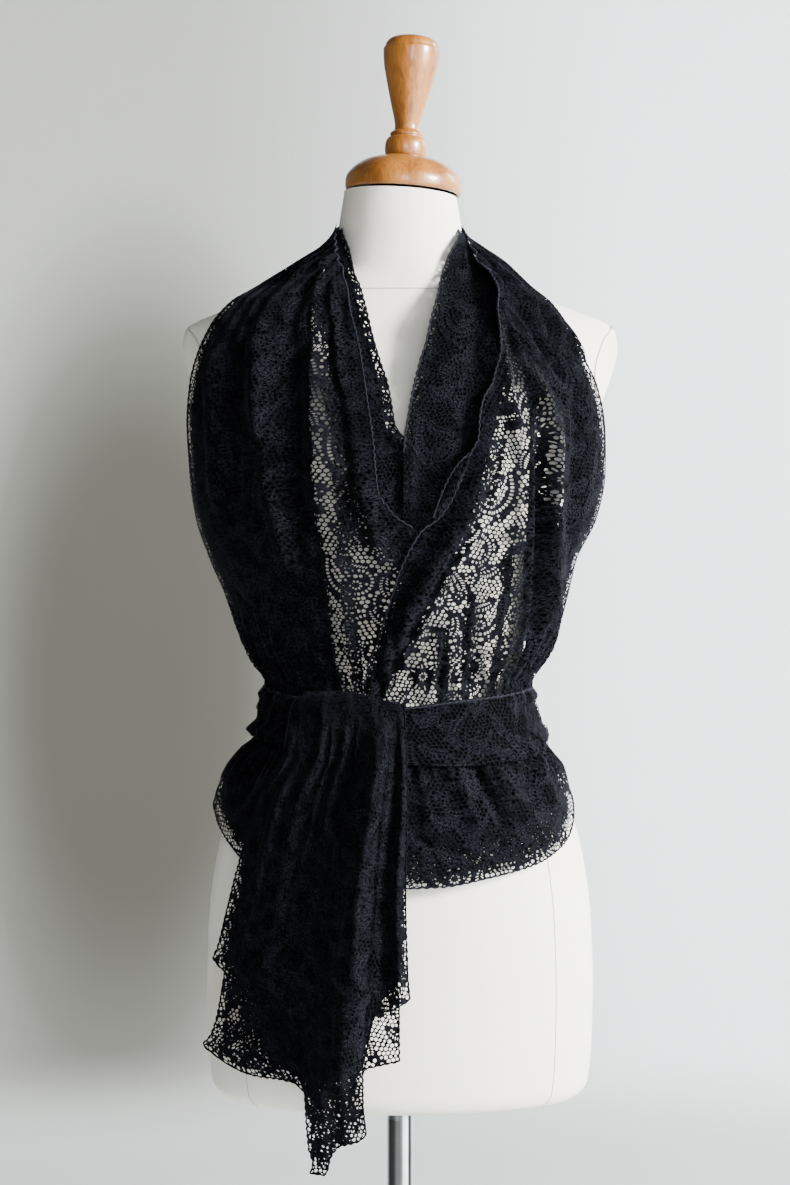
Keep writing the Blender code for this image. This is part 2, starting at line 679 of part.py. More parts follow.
def roll_height(z, degrees, side):
    """How far the broad roll stands out of the right panel."""
    if side < 0 or z > ROLL_LINE[0].z:
        return 0.0
    reach = along(DRAPE_SECTIONS, "z", "right", z)
    distance = reach * math.sin(math.radians(degrees)) - along(ROLL_LINE, "z", "x", z)
    fade = 1 - ease(ROLL_LINE[2].z, ROLL_LINE[0].z, z)
    fade *= ease(PANEL_BOTTOM + ROLL_GONE_ABOVE_SASH, PANEL_BOTTOM + ROLL_FULL_ABOVE_SASH, z)
    return ROLL_HEIGHT * fade * math.exp(-((distance / ROLL_HALF_WIDTH) ** 2))


def build_front():
    """The two outer front panels, which meet in the cowl and cross under the roll."""
    heights = band_rows(PANEL_ROWS)
    columns = FRONT_COLUMNS

    def left_lift(across, z):
        below_cowl = 1 - ease(COWL_BOTTOM, COWL_BOTTOM + COWL_CROSSING_DEPTH, z)
        return LEFT_UNDER_LIFT * ease(*LEFT_UNDER_ACROSS, across) * below_cowl

    def right_lift(across, z):
        return 0.0

    left = panel_grid(heights, columns, LEFT_HEM, -1, left_lift, LEFT_FOLDS)
    right = panel_grid(heights, columns, RIGHT_HEM, 1, right_lift, RIGHT_FOLDS)
    rows = len(heights) - 1
    wall("front_left", left, CLOTH, gap_cells(FRONT_LEFT_GAPS, columns, rows), 1.0)
    wall("front_right", right, CLOTH, gap_cells(FRONT_RIGHT_GAPS, columns, rows), -1.0)


def build_cowl():
    """The inner layer that shows in the neckline and runs on under the outer panels."""
    for side, neckline, hem, name in (
        (-1, LEFT_NECKLINE, LEFT_HEM, "cowl_left"),
        (1, RIGHT_NECKLINE, RIGHT_HEM, "cowl_right"),
    ):
        grid = []
        for z in band_rows(COWL_ROWS):
            neck = ease(COWL_NARROWS_FROM, COWL_ROWS[0].top, z)
            outer_x = along(hem, "z", "x", z) + side * mix(COWL_OVERLAP, COWL_TOP_OVERLAP, neck)
            if z < COWL_LOWER_FROM:
                outer_x = side * max(abs(outer_x), COWL_LOWER_REACH)
            start = drape_angle(z, outer_x)
            end = drape_angle(z, along(neckline, "z", "x", z))
            lift = mix(COWL_LIFT, COWL_TOP_LIFT, neck)
            row = []
            for i in range(COWL_COLUMNS + 1):
                row.append(drape_point(z, mix(start, end, i / COWL_COLUMNS), lift))
            grid.append(row)
        wall(name, grid, COWL_CLOTH, frozenset(), -side)


def build_neck_band():
    """The gathered band that joins both fronts behind the neck."""
    first = PANEL_WRAP[0].degrees + BAND_START
    grid = []
    for j in range(BAND_ROWS + 1):
        row = []
        for i in range(BAND_COLUMNS + 1):
            degrees = mix(first, 360 - first, i / BAND_COLUMNS)
            swell = math.sin(math.pi * i / BAND_COLUMNS)
            z = NECK_TIP_HEIGHT - mix(BAND_END_DEPTH, BAND_DEPTH, swell) * j / BAND_ROWS
            pleat = BAND_PLEAT * swell * (-1) ** j
            row.append(form_point(z, degrees, BAND_LIFT + pleat))
        grid.append(row)
    wall("neck_band", grid, BAND_CLOTH, frozenset(), -1.0)


def sash_point(degrees, down):
    """The sash's middle surface, with folds that run round the waist."""
    top = along(SASH_EDGES, "degrees", "top", degrees)
    bottom = along(SASH_EDGES, "degrees", "bottom", degrees)
    rise = sum(fold.height * math.exp(-(((down - fold.at) / fold.width) ** 2)) for fold in SASH_FOLDS)
    flare = SASH_FLARE * ease(SASH_FLARE_FROM, 1.0, down) + SASH_TOP_FLARE * (1 - ease(0.0, 0.25, down))
    return drape_point(mix(top, bottom, down), degrees, SASH_LIFT + flare + rise * ease(0.0, 0.2, down))


def build_sash():
    """The sash round the waist, parted at both sides into a front and a back."""
    for part in SASH_PARTS:
        grid = []
        for j in range(SASH_ROWS + 1):
            row = []
            for i in range(part.columns + 1):
                degrees = mix(part.start, part.end, i / part.columns)
                if degrees > 180:
                    degrees -= 360
                row.append(sash_point(degrees, j / SASH_ROWS))
            grid.append(row)
        wall(part.name, grid, SASH_CLOTH, frozenset(), -1.0)


def build_peplum():
    """The cloth that spreads over the hips below the sash, a left and a right part."""
    for side, name in ((-1, "peplum_left"), (1, "peplum_right")):
        outer = side * PEPLUM_HEM[-1].degrees
        inner = PEPLUM_SPLIT_DEGREES + side * PEPLUM_SPLIT_GAP
        grid = []
        for j in range(PEPLUM_ROWS + 1):
            down = j / PEPLUM_ROWS
            row = []
            for i in range(PEPLUM_COLUMNS + 1):
                across = i / PEPLUM_COLUMNS
                degrees = mix(outer, inner, across)
                hem = along(PEPLUM_HEM, "degrees", "z", degrees)
                z = mix(PEPLUM_TOP, min(hem, PEPLUM_TOP - PEPLUM_SHORTEST), down)
                rise = fold_height(PEPLUM_FOLDS, across, down) * ease(0.0, 0.3, down)
                rise *= 1 - ease(0.85, 1.0, across)
                row.append(drape_point(z, degrees, PEPLUM_LIFT + rise))
            grid.append(row)
        wall(name, grid, CLOTH, gap_cells(PEPLUM_GAPS, PEPLUM_COLUMNS, PEPLUM_ROWS), -side)


def tail_surface(x, z, outward):
    """A point of the tail, which curves back over the hip towards its sides."""
    front = along(TAIL_SECTIONS, "z", "front", z) + outward
    reach = along(TAIL_SECTIONS, "z", "reach", z)
    return Vector((x, -front * math.sqrt(1 - (x / reach) ** 2), z))


def tail_grid(top, left, right, hem, folds, cells, seat, set_back):
    """Rows of points down one layer of the tail, closer together near its top."""
    columns, rows = cells
    grid = []
    for j in range(rows + 1):
        down = (j / rows) ** TAIL_ROW_SPREAD
        row = []
        for i in range(columns + 1):
            across = i / columns
            top_z = along(top, "across", "z", across)
            z = mix(top_z, along(hem, "across", "z", across), down)
            x = mix(along(left, "z", "x", z), along(right, "z", "x", z), across)
            behind = mix(seat, set_back, ease(0, TAIL_SEAT_HEIGHT, top_z - z))
            row.append(tail_surface(x, z, fold_height(folds, across, down) - behind))
        grid.append(row)
    return grid


def build_tail():
    """The gathered end that hangs from the sash: a front layer, a back layer and the lowest tip."""
    front = tail_grid(
        FRONT_TAIL_TOP, FRONT_TAIL_LEFT, FRONT_TAIL_RIGHT, FRONT_TAIL_HEM, FRONT_TAIL_FOLDS,
        FRONT_TAIL_CELLS, 0.0, 0.0)
    wall("tail_front", front, CLOTH, frozenset(), -1.0)
    back = tail_grid(
        BACK_TAIL_TOP, BACK_TAIL_LEFT, BACK_TAIL_RIGHT, BACK_TAIL_HEM, BACK_TAIL_FOLDS,
        BACK_TAIL_CELLS, BACK_TAIL_SEAT, BACK_TAIL_SET_BACK)
    wall("tail_back", back, CLOTH, gap_cells(BACK_TAIL_GAPS, *BACK_TAIL_CELLS), -1.0)
    tip = tail_grid(TIP_TOP, TIP_LEFT, TIP_RIGHT, TIP_HEM, (), TIP_CELLS, TIP_SEAT, TIP_SET_BACK)
    wall("tail_tip", tip, CLOTH, gap_cells(TIP_GAPS, *TIP_CELLS), -1.0)


for old in list(bpy.data.objects):
    bpy.data.objects.remove(old, do_unlink=True)
build_stand()
build_form()
build_cap()
build_front()
build_cowl()
build_neck_band()
build_sash()
build_peplum()
build_tail()
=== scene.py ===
"""The looks of the lace shawl on its dress form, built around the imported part.

Tables are in millimetres, in the part's own frame: +X to the viewer's right, -Y to the front, +Z up.
The lace is real geometry: one repeat of holes is worked out, laid over each piece's flat cloth,
trimmed to the piece's border and then carried to the draped surface.
"""
import math
from collections import namedtuple

import bpy
import numpy as np
from mathutils import Matrix, Vector
from mathutils.geometry import delaunay_2d_cdt


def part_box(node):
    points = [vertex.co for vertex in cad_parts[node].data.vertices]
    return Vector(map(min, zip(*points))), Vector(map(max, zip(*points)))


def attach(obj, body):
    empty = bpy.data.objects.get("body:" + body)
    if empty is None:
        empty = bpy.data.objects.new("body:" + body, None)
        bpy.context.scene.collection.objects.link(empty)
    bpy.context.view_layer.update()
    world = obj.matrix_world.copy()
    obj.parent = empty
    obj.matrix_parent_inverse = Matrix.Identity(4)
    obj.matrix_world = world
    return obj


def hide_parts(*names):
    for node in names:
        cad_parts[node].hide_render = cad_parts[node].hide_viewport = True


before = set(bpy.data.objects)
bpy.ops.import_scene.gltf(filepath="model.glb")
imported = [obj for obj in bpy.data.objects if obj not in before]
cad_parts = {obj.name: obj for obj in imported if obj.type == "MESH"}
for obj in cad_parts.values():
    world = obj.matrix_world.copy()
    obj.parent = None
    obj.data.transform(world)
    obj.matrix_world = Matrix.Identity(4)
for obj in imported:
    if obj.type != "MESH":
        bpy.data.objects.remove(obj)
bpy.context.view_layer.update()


def table(kind, rows):
    """Rows of one kind, with the kind's own names for their columns."""
    return tuple(kind(*row) for row in rows)


MILLIMETRE = 0.001
UV_SPAN = 700.0

# Camera, in metres: level, in front of the form, framing the picture from the finial to the pole.
CAMERA_PLACE = (-0.0046, -2.3, 1.101)
CAMERA_LENS = 75.5
CAMERA_SENSOR = 36.0

# Heights on the drape
NECK_TIP_HEIGHT = 1442.0
PANEL_BOTTOM = 1006.0
TUCK_DEPTH = 20.0
COWL_TOP = 1434.0
COWL_LOW = 1140.0
PEPLUM_TOP = 976.0
FORM_TOP = 1470.3
CAP_TILT_DEGREES = 3.5
CAP_CENTRE_X = 3.0
CAP_SEAT_GAP = 0.3

FormSection = namedtuple("FormSection", "z half_width front back squareness")
FORM_SECTIONS = table(FormSection, (
    (636, 148, 90, 86, 2.2),
    (640, 163, 104, 99, 2.2),
    (652, 173, 111, 106, 2.2),
    (694, 177, 113, 111, 2.2),
    (744, 178, 114, 115, 2.2),
    (803, 176, 112, 118, 2.2),
    (863, 168, 106, 114, 2.2),
    (930, 145, 97, 99, 2.1),
    (980, 123, 90, 83, 2.1),
    (1030, 112, 86, 72, 2.1),
    (1080, 120, 96, 79, 2.1),
    (1130, 136, 110, 91, 2.2),
    (1200, 152, 122, 102, 2.3),
    (1240, 162, 114, 104, 2.3),
    (1270, 183, 100, 101, 2.2),
    (1300, 195, 85, 95, 2.1),
    (1325, 201, 73, 87, 2.1),
    (1342, 199, 65, 79, 2.1),
    (1352, 186, 62, 73, 2.0),
    (1364, 154, 59, 67, 2.0),
    (1376, 120, 55, 62, 2.0),
    (1388, 88, 53, 58, 2.0),
    (1400, 65, 52, 56, 2.0),
    (1420, 58, 51, 54, 2.0),
    (1445, 55, 50, 52, 2.0),
    (1470.3, 51, 49, 50, 2.0),
))

DrapeSection = namedtuple("DrapeSection", "z left right front back widest_y")
DRAPE_SECTIONS = table(DrapeSection, (
    (1442, 59, 58.5, 57, 58, 2),
    (1434, 62, 60, 59, 60, 0),
    (1421, 72, 74, 60, 60, -2),
    (1404, 97, 94, 61, 60, -5),
    (1383, 130, 118, 71, 60, -12),
    (1366, 153, 136, 85, 60, -34),
    (1341, 171, 151, 100, 60, -53),
    (1312, 184, 165, 111, 62, -56),
    (1290, 190, 177, 118, 66, -52),
    (1251, 194, 186, 131, 72, -42),
    (1210, 193, 188, 139, 78, -20),
    (1170, 188, 181, 141, 82, -10),
    (1133, 176, 164, 136, 86, -2),
    (1098, 161, 155, 126, 88, 0),
    (1063, 148, 144, 115, 88, 0),
    (1038, 136, 133, 107, 86, 0),
    (1020, 124, 121, 103, 84, 0),
    (1003, 125, 121, 106, 87, 0),
    (985, 129, 126, 111, 92, 0),
    (968, 134, 130, 117, 100, 0),
    (955, 147, 139, 124, 107, 0),
    (940, 160, 151, 132, 116, 0),
    (916, 170, 157, 138, 124, 0),
    (895, 172, 162, 138, 128, 0),
    (868, 173, 169, 133, 130, 0),
    (838, 174, 172, 125, 130, 0),
))

WrapAngle = namedtuple("WrapAngle", "z degrees")
PANEL_WRAP = table(WrapAngle, (
    (1442, 97),
    (1404, 93),
    (1341, 88),
    (1251, 92),
    (1170, 102),
    (1098, 114),
    (1020, 124),
    (1006, 125),
))

EdgePoint = namedtuple("EdgePoint", "z x")
LEFT_NECKLINE = table(EdgePoint, (
    (1442, -57.5), (1430, -55), (1411, -48.5), (1390, -44.5), (1378, -39), (1356, -32.5), (1330, -26),
    (1305, -18.5), (1284, -11.5), (1245, -4.5), (1223, 0.8), (1130, 1.5),
))
RIGHT_NECKLINE = table(EdgePoint, (
    (1442, 57), (1427, 56), (1405, 46.5), (1388, 40.5), (1368, 36), (1346, 29.5), (1324, 24.5),
    (1306, 18.5), (1281, 12), (1257, 7.5), (1230, 3.5), (1130, 2.2),
))
LEFT_HEM = table(EdgePoint, (
    (1442, -58), (1430, -59.5), (1411, -58), (1390, -51.5), (1352, -44), (1316, -36), (1270, -29),
    (1234, -24), (1210, -22), (1186, -19), (1177, -12.5), (1168, -5.5), (1157, 11), (1152, 20),
    (1120, 18), (1080, 5), (1040, -10), (1006, -18),
))
RIGHT_HEM = table(EdgePoint, (
    (1442, 58), (1424, 63), (1389, 73), (1354, 80), (1305, 84), (1288, 82), (1272, 73), (1255, 69),
    (1237, 67), (1222, 60), (1184, 45.5), (1164, 32), (1155, 19), (1120, 0), (1104, -5.5),
    (1064, -17.5), (1025, -30.5), (1006, -33),
))
COWL_CROSSING = 1157.0

# Creases are soft ridges, or troughs where the height is negative, along a straight run on the
# picture plane from (x0, z0) to (x1, z1).
Crease = namedtuple("Crease", "x0 z0 x1 z1 half_width height")
LEFT_CREASES = table(Crease, (
    (-74, 1412, -126, 1334, 6, 4.5),
    (-126, 1340, -119, 1222, 9, 6.5),
    (-119, 1226, -100, 1110, 9, 4.5),
    (-96, 1350, -92, 1120, 8, -4.0),
    (-66, 1414, -76, 1330, 5, 4.5),
    (-75, 1334, -70, 1150, 8, 5.0),
    (-166, 1330, -164, 1170, 8, 4.5),
    (-148, 1322, -146, 1150, 7, -3.0),
    (-61, 1408, -52, 1270, 4, 3.5),
    (-57, 1300, -44, 1160, 6, -3.0),
    (-44, 1210, -12, 1120, 8, 4.0),
    (-60, 1150, -40, 1040, 7, 4.0),
))
RIGHT_CREASES = table(Crease, (
    (66, 1424, 172, 1304, 6, 5.0),
    (71, 1414, 158, 1276, 4.5, -4.5),
    (70, 1410, 136, 1240, 6, 7.5),
    (80, 1388, 120, 1282, 4.5, -6.5),
    (72, 1404, 105, 1222, 5, 7.0),
    (78, 1378, 96, 1254, 3.5, -5.0),
    (74, 1390, 86, 1296, 3.5, 5.0),
    (124, 1262, 122, 1050, 5, -6.5),
    (137, 1262, 134, 1046, 7, 7.0),
    (114, 1250, 112, 1060, 4, 3.5),
    (158, 1290, 156, 1120, 7, -3.5),
    (105, 1230, 100, 1090, 9, 3.0),
    (66, 1190, 62, 1060, 9, 2.5),
))
RollPoint = namedtuple("RollPoint", "z x")
ROLL_LINE = table(RollPoint, (
    (1290, 92), (1225, 74), (1181, 62), (1147, 45), (1112, 23), (1077, 6), (1047, -9), (1006, -22),
))
ROLL_HALF_WIDTH = 14.0
ROLL_HEIGHT = 13.5

# Small gathers that the tied waist draws in above the sash.
WAIST_GATHER_TOP = 1112.0
WAIST_GATHER_PITCH = 13.5
WAIST_GATHER_HEIGHT = 2.6

SashEdge = namedtuple("SashEdge", "degrees top bottom")
SASH_EDGES = table(SashEdge, (
    (-180, 1009, 955), (-120, 1012, 962), (-90, 1016, 972), (-55, 1010, 965), (-25, 1003, 955),
    (0, 1000, 951), (22, 1005, 949), (50, 1010, 953), (90, 1015, 966), (120, 1012, 962),
    (180, 1009, 955),
))
SashFold = namedtuple("SashFold", "at width height")
SASH_FOLDS = table(SashFold, (
    (0.16, 0.07, 2.0),
    (0.42, 0.07, 1.5),
    (0.66, 0.06, -1.2),
    (0.84, 0.08, 1.8),
))
SASH_LIFT = 4.3

HemHeight = namedtuple("HemHeight", "degrees z")
PEPLUM_HEM = table(HemHeight, (
    (-125, 962), (-112, 946), (-99, 928), (-88, 910), (-79, 900), (-66, 880), (-55, 864), (-30, 850),
    (0, 842), (12, 843), (27, 850), (45, 860), (60, 873), (75, 892), (88, 911), (99, 926), (112, 944),
    (125, 962),
))
PEPLUM_CREASES = table(Crease, (
    (56, 962, 96, 893, 5, -9.0),
    (40, 958, 74, 890, 7, 6.0),
    (86, 950, 116, 892, 8, 5.5),
    (108, 966, 122, 908, 4, -4.0),
    (120, 958, 131, 934, 4, 6.0),
    (131, 934, 138, 905, 4, 6.0),
    (9, 890, 28, 878, 4, -3.5),
    (28, 878, 72, 869, 4, -3.5),
    (72, 869, 94, 882, 4, -3.5),
    (20, 960, 22, 890, 5, 4.0),
    (-118, 966, -150, 905, 7, -6.0),
    (-134, 962, -160, 925, 6, 4.5),
    (-100, 958, -128, 880, 7, 4.5),
))

TailSection = namedtuple("TailSection", "z reach front")
TAIL_SECTIONS = table(TailSection, (
    (1014, 125.1, 104.9), (1009, 132, 112), (1003, 136, 116.5), (985, 142, 123), (962, 160, 136),
    (940, 172, 143), (916, 182, 148), (868, 190, 149), (750, 198, 147), (690, 198, 143),
    (590, 198, 139),
))
HemPoint = namedtuple("HemPoint", "across z")
FRONT_TAIL_TOP = table(HemPoint, (
    (0.00, 1013), (0.50, 1014), (1.00, 1004),
))
FRONT_TAIL_LEFT = table(EdgePoint, (
    (1014, -84), (1000, -97), (958, -104), (928, -122), (881, -137), (850, -146), (819, -154),
    (784, -163), (774, -167), (758, -157), (680, -146),
))
FRONT_TAIL_RIGHT = table(EdgePoint, (
    (1014, -4), (1002, 3.5), (921, 6), (841, 4.5), (767, 6.5), (748, 8), (742, 4), (680, -2),
))
FRONT_TAIL_HEM = table(HemPoint, (
    (0.00, 774), (0.06, 758), (0.20, 757), (0.32, 742), (0.42, 710), (0.50, 676), (0.64, 668),
    (0.72, 676), (0.79, 694), (0.84, 734), (0.92, 739), (1.00, 748),
))
BACK_TAIL_TOP = table(HemPoint, (
    (0.00, 862), (1.00, 862),
))
BACK_TAIL_LEFT = table(EdgePoint, (
    (862, -128), (820, -146), (753, -158), (721, -164), (702, -171), (694, -177), (682, -168),
    (655, -150),
))
BACK_TAIL_RIGHT = table(EdgePoint, (
    (862, -14), (780, -5), (734, -1), (697, -1), (655, -3),
))
BACK_TAIL_HEM = table(HemPoint, (
    (0.00, 692), (0.08, 681), (0.20, 674), (0.42, 671), (0.47, 662), (0.52, 656), (0.60, 672),
    (0.80, 684), (0.90, 689), (1.00, 692),
))
TIP_TOP = table(HemPoint, (
    (0.00, 700), (1.00, 700),
))
TIP_LEFT = table(EdgePoint, (
    (700, -86), (658, -83.5), (636, -82), (614, -80), (601, -76.5), (592, -79),
))
TIP_RIGHT = table(EdgePoint, (
    (700, -33), (655, -32.5), (630, -30), (592, -28),
))
TIP_HEM = table(HemPoint, (
    (0.00, 592), (0.26, 592), (0.30, 603), (0.42, 612), (0.55, 618), (0.85, 622), (1.00, 628),
))
# Folds of the tail, by their place across it at its top and at its hem.
TailFold = namedtuple("TailFold", "across_top across_bottom down_from half_width height")
FRONT_TAIL_FOLDS = table(TailFold, (
    (0.05, 0.04, 0.10, 0.028, 4.0),
    (0.15, 0.12, 0.20, 0.045, 6.0),
    (0.30, 0.26, 0.02, 0.040, 5.0),
    (0.40, 0.36, 0.05, 0.022, 3.0),
    (0.50, 0.46, 0.03, 0.030, 5.0),
    (0.60, 0.53, 0.02, 0.018, 2.5),
    (0.80, 0.66, 0.02, 0.110, 21.0),
    (0.73, 0.60, 0.10, 0.014, 2.0),
    (0.86, 0.78, 0.06, 0.016, -3.0),
    (0.97, 0.95, 0.02, 0.035, 9.0),
))
BACK_TAIL_FOLDS = table(TailFold, (
    (0.18, 0.14, 0.30, 0.060, 4.0),
    (0.42, 0.34, 0.40, 0.050, -3.0),
    (0.66, 0.70, 0.40, 0.050, 2.5),
    (0.90, 0.88, 0.30, 0.050, 3.0),
))
TIP_FOLDS = table(TailFold, (
    (0.30, 0.24, 0.10, 0.10, 2.5),
    (0.70, 0.60, 0.10, 0.12, 2.0),
))


def curve(rows, key, value, at):
    """A smooth curve through one column of a table, with no overshoot, for an array of places."""
    points = sorted((getattr(row, key), getattr(row, value)) for row in rows)
    xs = np.array([p[0] for p in points], float)
    ys = np.array([p[1] for p in points], float)
    slopes = np.diff(ys) / np.diff(xs)
    tangents = np.empty(len(xs))
    tangents[0] = slopes[0]
    tangents[-1] = slopes[-1]
    before = slopes[:-1]
    after = slopes[1:]
    same = before * after > 0
    total = np.where(same, before + after, 1.0)
    tangents[1:-1] = np.where(same, 2 * before * after / total, 0.0)
    at = np.clip(np.asarray(at, float), xs[0], xs[-1])
    n = np.clip(np.searchsorted(xs, at, side="right") - 1, 0, len(xs) - 2)
    span = xs[n + 1] - xs[n]
    t = (at - xs[n]) / span
    return (
        (2 * t ** 3 - 3 * t ** 2 + 1) * ys[n]
        + (t ** 3 - 2 * t ** 2 + t) * span * tangents[n]
        + (3 * t ** 2 - 2 * t ** 3) * ys[n + 1]
        + (t ** 3 - t ** 2) * span * tangents[n + 1]
    )


def ease(low, high, at):
    t = np.clip((np.asarray(at, float) - low) / (high - low), 0.0, 1.0)
    return t * t * (3 - 2 * t)


def mix(a, b, t):
    return a + (b - a) * t


def wander(u, seed):
    """A slow wave between -1 and 1 that doesn't repeat soon."""
    return (
        np.sin(u + 1.7 * seed) + 0.6 * np.sin(1.73 * u + 3.1 * seed) + 0.4 * np.sin(2.91 * u + 0.7 * seed)
    ) / 2.0


def form_points(z, degrees, outward=0.0):
    """Points of the dress form's surface."""
    z, degrees = np.broadcast_arrays(np.asarray(z, float), np.asarray(degrees, float))
    angle = np.radians(degrees)
    power = 2 / curve(FORM_SECTIONS, "z", "squareness", z)
    width = curve(FORM_SECTIONS, "z", "half_width", z) + outward
    front = curve(FORM_SECTIONS, "z", "front", z)
    back = curve(FORM_SECTIONS, "z", "back", z)
    depth = np.where(np.cos(angle) > 0, front, back) + outward
    x = np.sign(np.sin(angle)) * np.abs(np.sin(angle)) ** power * width
    y = -np.sign(np.cos(angle)) * np.abs(np.cos(angle)) ** power * depth
    return np.stack((x, y, z), axis=-1)


def drape_reach(z, degrees):
    left = curve(DRAPE_SECTIONS, "z", "left", z)
    right = curve(DRAPE_SECTIONS, "z", "right", z)
    return mix(left, right, ease(-8, 8, degrees))


def drape_points(z, degrees, outward=0.0):
    """Points of the surface that the draped cloth follows."""
    z, degrees = np.broadcast_arrays(np.asarray(z, float), np.asarray(degrees, float))
    angle = np.radians(degrees)
    reach = drape_reach(z, degrees) + outward
    widest_y = curve(DRAPE_SECTIONS, "z", "widest_y", z)
    front = curve(DRAPE_SECTIONS, "z", "front", z) + widest_y
    back = curve(DRAPE_SECTIONS, "z", "back", z) - widest_y
    depth = np.where(np.cos(angle) > 0, front, back) + outward
    return np.stack((reach * np.sin(angle), widest_y - depth * np.cos(angle), z), axis=-1)


def drape_angle(z, x):
    z, x = np.broadcast_arrays(np.asarray(z, float), np.asarray(x, float))
    left = curve(DRAPE_SECTIONS, "z", "left", z)
    right = curve(DRAPE_SECTIONS, "z", "right", z)
    reach = np.where(x < 0, left, right)
    return np.degrees(np.arcsin(np.clip(x / reach, -1, 1)))


def crease_height(creases, x, z):
    """The sum of the creases at places on the picture plane."""
    total = np.zeros(np.broadcast(x, z).shape)
    for n, crease in enumerate(creases):
        dx = crease.x1 - crease.x0
        dz = crease.z1 - crease.z0
        length = math.hypot(dx, dz)
        along_it = ((x - crease.x0) * dx + (z - crease.z0) * dz) / length
        bend = 0.25 * crease.half_width * np.sin(along_it / length * 4.2 + n * 1.9)
        off = ((x - crease.x0) * dz - (z - crease.z0) * dx) / length + bend
        fade = ease(-0.04, 0.22, along_it / length) * (1 - ease(0.78, 1.04, along_it / length))
        total += crease.height * fade * np.exp(-((off / crease.half_width) ** 2))
    return total


# The lace repeat: motifs are close-knit patches with their own holes, and net fills what is left.
LACE_WIDTH = 96.0
LACE_HEIGHT = 112.0
NET_PITCH = 3.95
NET_ROW = 3.5
NET_HOLE = 1.86
NET_SMALLEST = 0.85
NET_WARP = 1.5
THREAD = 0.62
MOTIF_THREAD = 0.42
SOLID_STEP = 3.3
SEAM_MARGIN = 12.0
Hole = namedtuple("Hole", "x y angle half radius corners")
Patch = namedtuple("Patch", "x y radius")


def winding(x, y, heading, length, bend, tighten, count):
    """Places and headings along a curve that bends, and tightens as it goes. Angles in degrees."""
    share = np.linspace(0, 1, count)
    turn = np.radians(heading + bend * share + tighten * share ** 2)
    step = length / (count - 1)
    xs = x + np.concatenate(([0], np.cumsum(np.cos(turn[:-1]) * step)))
    ys = y + np.concatenate(([0], np.cumsum(np.sin(turn[:-1]) * step)))
    return xs, ys, turn, share


def ring_flower(x, y, radius):
    """A round flower: a solid eye and rim with a ring of small holes between."""
    count = max(7, round(2 * math.pi * 0.55 * radius / 2.5))
    holes = []
    for n in range(count):
        a = 2 * math.pi * (n + 0.3) / count
        reach = 0.55 * radius
        holes.append(Hole(x + reach * math.cos(a), y + reach * math.sin(a), a, 0.3, 0.84, 6))
    return holes, [Patch(x, y, radius)]


def ladder(curve, width, radius=1.12, pitch=3.25, end=0.0):
    """A band with one file of larger holes along it. The band narrows towards its end."""
    xs, ys, turn, share = curve
    length = math.hypot(xs[1] - xs[0], ys[1] - ys[0]) * (len(xs) - 1)
    patches = [Patch(px, py, width * (1 - end * s)) for px, py, s in zip(xs, ys, share)]
    holes = []
    for n in range(int(length / pitch)):
        s = (n + 0.5) * pitch / length
        size = 1 - end * s
        px = np.interp(s, share, xs)
        py = np.interp(s, share, ys)
        across = np.interp(s, share, turn) + math.pi / 2
        holes.append(Hole(px, py, across, 0.45 * size, radius * (0.55 + 0.45 * size), 7))
    return holes, patches


def leaf(curve, width, slots=True):
    """A leaf along a curve, close-knit, with slots that slant from its middle rib."""
    xs, ys, turn, share = curve
    length = math.hypot(xs[1] - xs[0], ys[1] - ys[0]) * (len(xs) - 1)
    patches = []
    for px, py, s in zip(xs, ys, share):
        patches.append(Patch(px, py, max(0.6, width * math.sin(math.pi * min(1.0, 0.12 + 0.86 * s)) ** 0.8)))
    holes = []
    if slots:
        count = int((length - 5) / 2.35)
        for n in range(count):
            s = (3.0 + n * 2.35) / length
            local = width * math.sin(math.pi * min(1.0, 0.12 + 0.86 * s)) ** 0.8
            if local < 2.2:
                continue
            px = np.interp(s, share, xs)
            py = np.interp(s, share, ys)
            heading = np.interp(s, share, turn)
            for side in (-1, 1):
                slant = heading + side * 0.95
                reach = 0.55 * local + 0.35
                holes.append(Hole(px + reach * math.cos(slant), py + reach * math.sin(slant), slant,
                                  max(0.1, 0.33 * local - 0.55), 0.62, 6))
    return holes, patches


def comb(x, y, heading, rows, length, bend, spacing=2.0, pitch=1.95):
    """Rows of small round holes side by side in a close-knit patch."""
    holes = []
    patches = []
    for row in range(rows):
        off = (row - 0.5 * (rows - 1)) * spacing
        a = math.radians(heading) + math.pi / 2
        reach = length * (1 - 0.10 * abs(row - 0.5 * (rows - 1)))
        line = winding(x + off * math.cos(a), y + off * math.sin(a), heading, reach, bend, 0.0, 24)
        xs, ys, turn, share = line
        patches += [Patch(px, py, 1.5) for px, py in zip(xs, ys)]
        for n in range(int(reach / pitch)):
            s = (n + 0.5) * pitch / reach
            px, py, angle = (np.interp(s, share, values) for values in (xs, ys, turn))
            holes.append(Hole(px, py, angle, 0.22, 0.56, 6))
    return holes, patches


def petals(x, y, inner, outer, count, width, turn):
    """Close-knit petals round a flower, each with a slot down its middle."""
    patches = []
    holes = []
    for n in range(count):
        a = turn + 2 * math.pi * n / count
        middle = mix(inner, outer, 0.62)
        slot = 0.22 * (outer - inner)
        holes.append(Hole(x + middle * math.cos(a), y + middle * math.sin(a), a, slot, 0.72, 6))
        for k in range(7):
            s = k / 6
            reach = inner + (outer - inner) * s
            radius = width * math.sin(math.pi * (0.18 + 0.62 * s))
            patches.append(Patch(x + reach * math.cos(a), y + reach * math.sin(a), radius))
    return holes, patches


def stem(curve, width):
    xs, ys, _, _ = curve
    return [], [Patch(px, py, width) for px, py in zip(xs, ys)]


